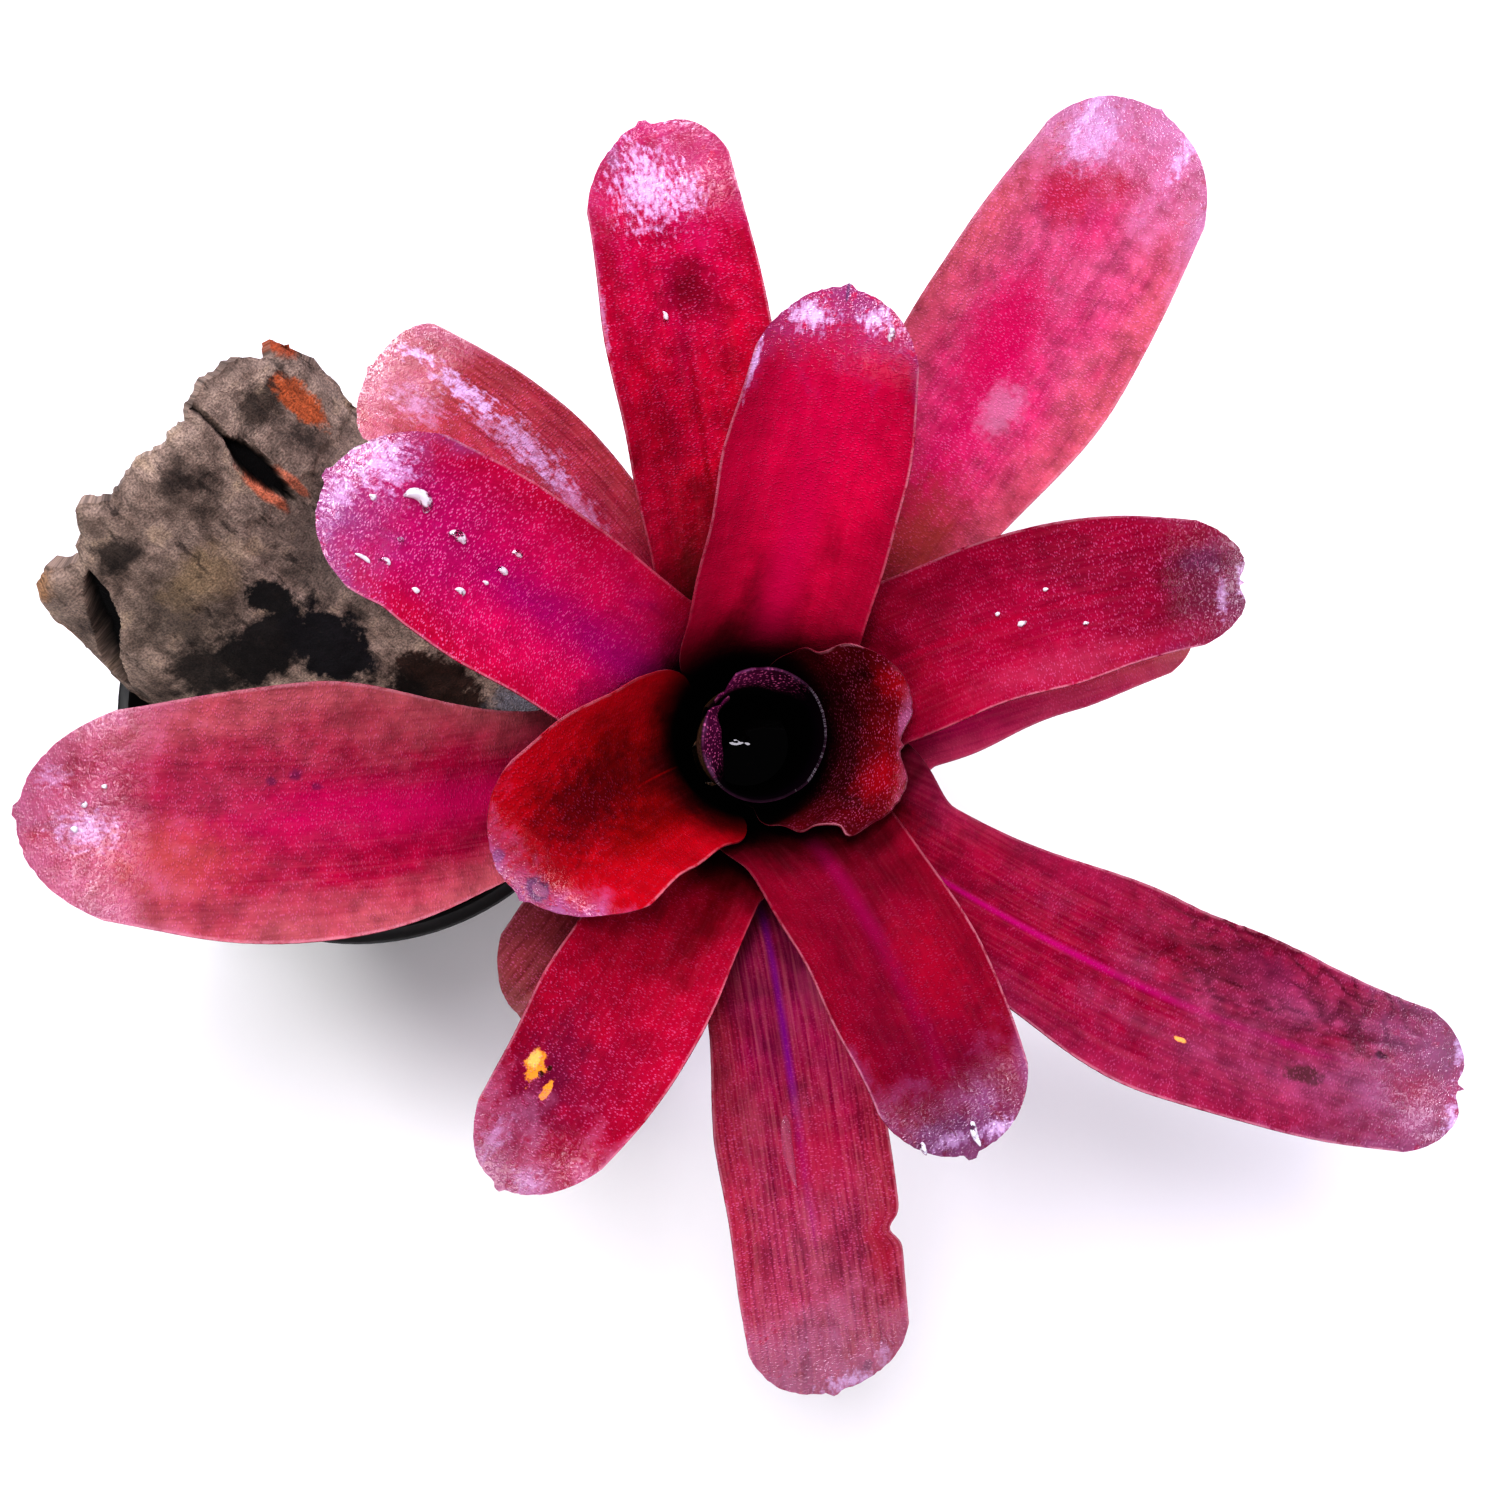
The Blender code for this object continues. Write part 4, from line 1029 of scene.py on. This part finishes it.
# Painted highlights on the glossy ends, lilac white and broken into streaks: place along and across, reach
# along and across in millimetres, and strength
PAINTED_HIGHLIGHTS = {
    "top_inner": ((0.928, 0.42, 3.0, 7, 1.0), (0.938, -0.44, 2.6, 5.5, 1.0), (0.83, 0.96, 7, 1.0, 0.7)),
    "front_right": ((0.958, 0.42, 2.0, 4.5, 0.8), (0.955, -0.2, 1.6, 5, 0.4)),
    "left_upper": ((0.915, -0.42, 6.5, 7, 0.75), (0.955, 0.10, 3, 8, 0.45)),
    "right": ((0.93, -0.25, 1.6, 6, 0.45), (0.975, 0.05, 1.5, 6, 0.5)),
    "front_left": ((0.95, 0.30, 3, 6, 0.35), (0.93, -0.5, 6, 3, 0.3)),
    "top": ((0.885, 0.14, 9, 9.5, 0.85), (0.87, -0.35, 5, 5, 0.5), (0.94, 0.2, 5, 3, 0.5),
            (0.70, 0.98, 8, 1.0, 0.4)),
    "right_long": ((0.978, 0.50, 2.4, 7, 0.8), (0.978, -0.50, 2.2, 7, 0.8)),
    "left_long": ((0.90, 0.15, 7, 6, 0.45), (0.95, -0.35, 4, 4, 0.3)),
    "top_right": ((0.94, 0.68, 12, 2.0, 0.6), (0.955, -0.45, 10, 2.4, 0.7), (0.90, 0.45, 9, 6, 0.35)),
    "front_long": ((0.979, 0.19, 2.6, 7, 0.6), (0.94, 0.66, 4, 2, 0.35)),
    "left_back": ((0.905, -0.50, 7, 1.8, 0.9), (0.79, -0.37, 11, 2.6, 0.9), (0.64, -0.28, 15, 3.8, 0.6),
                  (0.48, -0.22, 12, 3.0, 0.35), (0.86, 0.15, 7, 5, 0.4)),
}
# The outer leaves, whose sheaths stand open at the side and are tan inside, below the shade of the cup
OPEN_SHEATHS = ("right_long", "left_long", "top_right", "front_long", "left_back", "right_under",
                "front_left_under")


def gap_to(node, leaf, along, across, v, u, reach_v, reach_u):
    """How far a point of the leaf lies from a spot, as a share of the spot's reach in millimetres."""
    parts = []
    for value, centre, share in ((along, v, leaf.length / reach_v), (across, u, leaf.width / 2 / reach_u)):
        gap = node("Math", (value, centre), "SUBTRACT")
        parts.append(node("Math", (gap, share), "MULTIPLY"))
    gap = node("CombineXYZ", (parts[0], parts[1]))
    return node("VectorMath", (gap,), "LENGTH")


def leaf_skin(leaf, look):
    """Living leaf skin, waxy and set with silver scurf, which frosts the end and makes it glossy.

    Crimson pigment shows through it, fading to salmon and mauve on old leaves, with painted shade near black
    deep in the cup. The scurf's dashes stand 0.85 mm apart across the blade and 0.5 mm along it, coarser than
    real ones, which would not show, and the lengthwise veins 0.9 mm.
    """
    skin, node, shader = new_finish("scurfy_leaf_skin_" + leaf.name)
    rolled = leaf.name == "rolled_centre"
    place = node("Attribute", {}, give="Vector", attribute_name="skin_place")
    across, along, upper, fold = (
        node("Attribute", {}, give="Fac", attribute_name=name)
        for name in ("across", "along", "upper", "fold"))
    width = node("Math", (across,), "ABSOLUTE")
    drift, streak, bands = (
        node("Mapping", {0: place, "Scale": scale})
        for scale in ((1, 0.55, 1), (1, 0.035, 1), (0.22, 1, 1)))
    patch, vein, wet, crinkle, warp, fine, bands = (
        node("TexNoise", {"Vector": spot, "Scale": scale, "Detail": detail, "Roughness": rough})
        for spot, scale, detail, rough in (
            (drift, 85, 5, 0.62), (streak, 1100, 3, 0.6), (place, 170, 5, 0.6), (drift, 620, 4, 0.6),
            (place, 420, 5, 0.65), (drift, 950, 3, 0.6), (bands, 620, 5, 0.7)))
    dash = node("TexNoise", {"Vector": place, "Scale": 500, "Detail": 2}, give="Color")
    dash = node("Mix", {0: 0.0006, 4: place, 5: dash}, data_type="VECTOR")
    dash = node("Mapping", {0: dash, "Scale": (0.6, 1, 1)})
    dash = node("TexVoronoi", {"Vector": dash, "Scale": 1950})

    # The ground colour runs from the base of the blade to its end and out to its sides, with drifting borders
    far = node("Math", (patch, 0.9, -0.45), "MULTIPLY_ADD")
    wide = node("Math", (far, width), "ADD")
    far = node("Math", (far, along), "ADD")
    colour = look.base
    for value, low, high, code in ((far, 0.12, 0.50, look.middle), (far, 0.50, 0.90, look.outer),
                                   (wide, 0.45, 0.95, look.flank)):
        step = node("MapRange", (value, low, high))
        colour = node("Mix", (step, colour, code))
    # It is blotched, and the folds carry painted light and shade: paler on their crests, darker in their
    # creases
    for value, low, high, dark, pale in (
            (wet, 0.35, 0.65, 1.0 - 0.38 * look.blotch, 1.0 + 0.16 * look.blotch),
            (fold, -0.00050, 0.00022, 0.60, 1.22)):
        fade = node("MapRange", (value, low, high, dark, pale))
        colour = node("Mix", (1.0, colour, fade), "MULTIPLY")

    # Pale and dark veins, the flushed midrib, and the leaf's own marks
    for low, high, share, code in ((0.45, 0.66, 0.5, "#CC7C80"), (0.46, 0.34, 0.45, "#3A0414")):
        lined = node("MapRange", (vein, low, high, 0, share * look.veins))
        colour = node("Mix", (lined, colour, code))
    rib = node("MapRange", (width, look.rib_width * 1.8, 0.0, 0, 0.8), interpolation_type="SMOOTHSTEP")
    fade = node("MapRange", (far, 0.85, 0.45))
    rib = node("Math", (rib, fade), "MULTIPLY")
    colour = node("Mix", (rib, colour, look.rib))
    for v, u, reach_v, reach_u, strength, soft, code in MARKS.get(leaf.name, ()):
        gap = gap_to(node, leaf, along, across, v, u, reach_v, reach_u)
        gap = node("Math", (warp, 2.0, gap), "MULTIPLY_ADD")
        cover = node("MapRange", (gap, 1.9 + soft, 1.9 - soft, 0, strength),
                     interpolation_type="SMOOTHSTEP")
        colour = node("Mix", (cover, colour, code))

    # Scurf dashes, with painted shade in the gaps between them, closest in the outer half of a leaf and, on
    # the rolled one, at its sides
    spread = node("MapRange", (width, 0.45, 0.60) if rolled else (far, 0.20, 0.70, 0.15))
    close = node("MapRange", (wet, 0.36, 0.56, 0.4))
    dots = node("MapRange", (dash, 0.40, 0.22, 0, look.dots))
    for share in (spread, close):
        dots = node("Math", (dots, share), "MULTIPLY")
    painted_shade_between_dashes = node("MapRange", (dash, 0.30, 0.62, 0, 0.26 * look.dots))
    painted_shade_between_dashes = node("Math", (painted_shade_between_dashes, spread), "MULTIPLY")
    colour = node("Mix", (painted_shade_between_dashes, colour, "#30000E"))
    colour = node("Mix", (dots, colour, "#D4709E"))

    # Frost at the end and along the outer margin, with wet red spots left in it
    edge = along
    for value, share in ((node("Math", (width, 8.0), "POWER"), 0.12), (wet, 0.35), (patch, 0.35)):
        edge = node("Math", (value, share, edge), "MULTIPLY_ADD")
    frost = node("MapRange", (edge, 1.17, 1.36, 0, look.frost))
    bare = node("MapRange", (warp, 0.58, 0.64, 1.0, 0.35))
    for share in (bare, spread) if rolled else (bare,):
        frost = node("Math", (frost, share), "MULTIPLY")
    colour = node("Mix", (frost, colour, look.tip))
    # Painted highlights, lilac white and broken into streaks, on the glossy ends
    for v, u, reach_v, reach_u, strength in PAINTED_HIGHLIGHTS.get(leaf.name, ()):
        gap = gap_to(node, leaf, along, across, v, u, reach_v, reach_u)
        for value, share in ((warp, 1.2), (fine, 3.6)):
            gap = node("Math", (value, share, gap), "MULTIPLY_ADD")
        cover = node("MapRange", (gap, 3.5, 2.45, 0, strength))
        colour = node("Mix", (cover, colour, "#DDBCE8"))

    # The pale margin, made of dots, and the shade of the cup, which the open sheaths lose below it
    rim = node("MapRange", (width, 0.968, 0.985, 0, 0.5))
    for value, low, high in ((crinkle, 0.34, 0.52), (along, look.dark + 0.1, look.dark + 0.45)):
        share = node("MapRange", (value, low, high))
        rim = node("Math", (rim, share), "MULTIPLY")
    colour = node("Mix", (rim, colour, "#C88C98"))
    shade = node("MapRange", (along, look.dark - 0.04, look.dark + 0.24), interpolation_type="SMOOTHSTEP")
    heart = look.throat
    if leaf.name in OPEN_SHEATHS:
        deep = node("MapRange", (along, -0.10, -0.30))
        heart = node("Mix", (deep, heart, "#7A5A4A"))
    colour = node("Mix", (shade, heart, colour))

    # The underside: pale tan-green at the sheath, dull red with crosswise silver scurf on the blade, and on
    # the rolled leaf all dark purple, as painted shade deep in the cup
    sheath, waist, blade, scurf = (("#1C0A14", "#220A1A", "#2C0E22", "#5A3450") if rolled else
                                   ("#94845E", "#84404A", "#7C2038", "#B09A9A"))
    under = node("MapRange", (along, -0.35, 0.25))
    back = node("ValToRGB", (under,), stops=((0.0, "#6E5138"), (0.35, sheath), (0.7, waist), (1.0, blade)))
    bands = node("MapRange", (bands, 0.46, 0.70, 0, 0.34))
    back = node("Mix", (bands, back, scurf))
    colour = node("Mix", (upper, back, colour))

    # Gloss: the frosted end is wet and smooth, the rest of the skin satin
    glossy = node("MapRange", (along, 0.81, 0.96, 0, look.gloss))
    rough = node("MapRange", (glossy, 0, 1, 0.55, 0.34))
    rough = node("Math", (crinkle, 0.18, rough), "MULTIPLY_ADD")
    height = node("MapRange", (dash, 0.5, 0.2, 0, 0.6))
    height = node("Math", (height, spread), "MULTIPLY")
    for value, share in ((crinkle, 0.7), (warp, 0.9), (wet, 1.6), (vein, 0.8 * look.veins)):
        height = node("Math", (value, share, height), "MULTIPLY_ADD")
    relief = node("Bump", {"Height": height, "Strength": 0.6, "Distance": 0.0004})
    set_inputs(shader, {"Base Color": colour, "Roughness": rough, "Specular IOR Level": 0.04,
                        "Normal": relief, "Coat Weight": glossy, "Coat Roughness": 0.10, "Coat IOR": 1.8,
                        "Coat Normal": relief})
    return skin


blades = {}
for order, row in enumerate(LEAVES):
    leaf = in_metres(row)
    blade = make_leaf(leaf, order)
    skin = leaf_skin(row, Look(*LOOKS[row.name]))
    name = f"{order + 1:02d}_{leaf.name}"
    place_piece(blade, "blade_" + name, "leaf_inner" if order < 9 else "leaf_outer", skin, "leaf_" + name)
    blades[leaf.name] = (leaf, leaf_rail(leaf, order))


# The water in the cup: what rain or watering has left in the rolled centre leaf, level whatever the
# plant's lean, and swollen a little where a fleck floats.
WATER_TOP = -0.020
WATER_BOTTOM = -0.038
WATER_SIDES = 72
WATER_CLEAR = LEAF_THICKNESS / 2 + ROLL_STEP + GAP
# Clean water drawn opaque and near black, as painted shade of the deep cup beneath it; it mirrors the light,
# with a faint brown of leaf litter.
still_water, node, shader = new_finish("standing_water_painted_dark")
spot = node("TexCoord", {}, give="Object")
litter = node("TexNoise", {"Vector": spot, "Scale": 900, "Detail": 4})
litter = node("MapRange", (litter, 0.6, 0.75, 0, 0.5))
colour = node("Mix", (litter, "#030202", "#160C08"))
set_inputs(shader, {"Base Color": colour, "Roughness": 0.03, "IOR": 1.333})
# Low swellings round two floating flecks, which catch the light: place, reach and height
GLINTS = ((-0.0020, 0.0010, 0.0014, 0.00030), (0.0006, 0.0004, 0.0009, 0.00014))
bpy.ops.mesh.primitive_cylinder_add(vertices=WATER_SIDES, radius=1, depth=2, end_fill_type="TRIFAN")
pool = bpy.context.object
subdivide_all(11)
level = plant.to_3x3().transposed() @ Vector((0, 0, 1))
for vertex in pool.data.vertices:
    x, y, z = vertex.co
    z_here = mix(WATER_BOTTOM, WATER_TOP, (z + 1) / 2)
    reach = CORE_RADIUS + (z_here - BULB_CENTRE) * math.tan(FLARE) - WATER_CLEAR
    spot = Vector((x * reach, y * reach, z_here))
    if z > 0.99:
        spot.z -= (level.x * spot.x + level.y * spot.y) / level.z
        for glint_x, glint_y, reach, high in GLINTS:
            away = math.hypot(spot.x - glint_x, (spot.y - glint_y) * 1.5) / reach
            spot.z += high * math.exp(-away * away)
    vertex.co = plant @ spot
smooth_faces(pool, 50)
place_piece(pool, "water_in_cup", "water", still_water, "cup_water")


# Rain drops and wet films that lie on the blades. Each is a low dome whose foot sinks into the skin; the
# larger drops have run into crescents, and they are part white where a ripple noise makes them less clear:
# painted highlight.
water, node, shader = new_finish("rain_water_with_painted_highlights")
spot = node("TexCoord", {}, give="Object")
ripple = node("TexNoise", {"Vector": spot, "Scale": 500, "Detail": 2})
relief = node("Bump", {"Height": ripple, "Strength": 0.4, "Distance": 0.0004})
# Painted highlight: where the ripple is high the drops turn white and less see-through
clear_between_painted_highlights = node("MapRange", (ripple, 0.40, 0.52, 1.0, 0.25))
set_inputs(shader, {"Normal": relief, "Transmission Weight": clear_between_painted_highlights, "Base Color": "#F6F2FA",
                    "Roughness": 0.02, "IOR": 1.333, "Coat Weight": 1.0})
# A thin sheet of the same rain that has wetted the scurf: mostly see-through, with a faint pale pink as
# painted reflection, and its gloss
film, node, shader = new_finish("rain_film_wetted_through")
set_inputs(shader, {"Base Color": "#D88CA8", "Alpha": 0.22, "Roughness": 0.05, "IOR": 1.333})
# By leaf: place along and across, size along, across and high in millimetres, and bend in degrees
DROPS = {
    "left_upper": ((0.832, -0.30, 8.5, 2.6, 1.5, 170), (0.733, -0.14, 4.6, 2.2, 1.2, 120),
                   (0.613, -0.31, 2.8, 1.4, 0.8, 100), (0.621, -0.08, 3.0, 1.5, 0.9, 90),
                   (0.832, 0.51, 2.8, 1.2, 0.6, 120), (0.757, 0.60, 1.9, 1.2, 0.5, 60),
                   (0.678, 0.33, 2.8, 1.3, 0.6, 130), (0.824, 0.23, 1.5, 1.2, 0.5, 0),
                   (0.640, 0.12, 1.6, 0.9, 0.5, 60), (0.905, -0.02, 1.6, 1.3, 0.6, 0),
                   (0.870, 0.62, 4.0, 0.9, 0.5, 40)),
    "top": ((0.682, 0.21, 2.6, 1.2, 0.8, 70),),
    "right": ((0.540, -0.10, 2.2, 1.4, 0.6, 60), (0.50, 0.10, 1.3, 1.0, 0.5, 0),
              (0.60, 0.22, 1.4, 1.0, 0.5, 0), (0.66, -0.30, 1.4, 1.0, 0.5, 0)),
    "front_right": ((0.955, 0.10, 6.0, 1.6, 0.8, 30), (0.955, -0.59, 3.0, 1.3, 0.7, 60)),
    "left_long": ((0.915, 0.15, 1.7, 1.4, 0.7, 0), (0.905, -0.10, 1.5, 1.3, 0.7, 0),
                  (0.880, -0.28, 1.3, 1.1, 0.6, 0)),
    "top_inner": ((0.92, -0.62, 3.6, 1.4, 0.6, 40),),
}
FILMS = {"front_long": ((0.584, -0.16, 17.0, 2.4, 0.35, 20),),
         "left_inner": ((0.938, 0.10, 2.6, 3.8, 0.6, 0),)}
drops, films = [], []
rows = [(pieces, name, *row) for pieces, table in ((drops, DROPS), (films, FILMS))
        for name, group in table.items() for row in group]
for count, (pieces, name, v, u, size_v, size_u, high, bend) in enumerate(rows):
    leaf, stations = blades[name]
    s = stations[-1].s - leaf.length * (1 - v)
    spot, facing, at = leaf_point(leaf, stations, s, u)
    spot = spot + facing * leaf_relief(leaf, (u * at.half, s), u, v)
    run = direction(at.heading, at.slope)
    run = (run - facing * run.dot(facing)).normalized()
    bpy.ops.mesh.primitive_uv_sphere_add(segments=36, ring_count=18, radius=1)
    drop = bpy.context.object
    for vertex in drop.data.vertices:
        x, y, z = vertex.co
        bulge = 1 + 0.22 * noise.noise((x * 1.3, y * 1.3, count))
        x, y = x * bulge * size_v / 2, y * bulge * size_u / 2 * (1 - 0.3 * x)
        if bend:
            round_off = size_v / math.radians(bend)
            x, arm = x / round_off, round_off - y
            x, y = arm * math.sin(x), round_off - arm * math.cos(x)
        vertex.co = Vector((x, y, max(z, -0.25) * high)) * MM
    lay = Matrix((run, facing.cross(run), facing)).transposed().to_4x4()
    ground = spot + facing * (LEAF_THICKNESS * 0.5 - 0.00005)
    drop.data.transform(plant @ Matrix.Translation(ground) @ lay)
    pieces.append(drop)
for pieces, name, finish in ((drops, "rain_drops", water), (films, "rain_films", film)):
    select_only(*pieces)
    bpy.ops.object.join()
    smooth_faces(bpy.context.object, 60)
    place_piece(bpy.context.object, name, "water", finish)
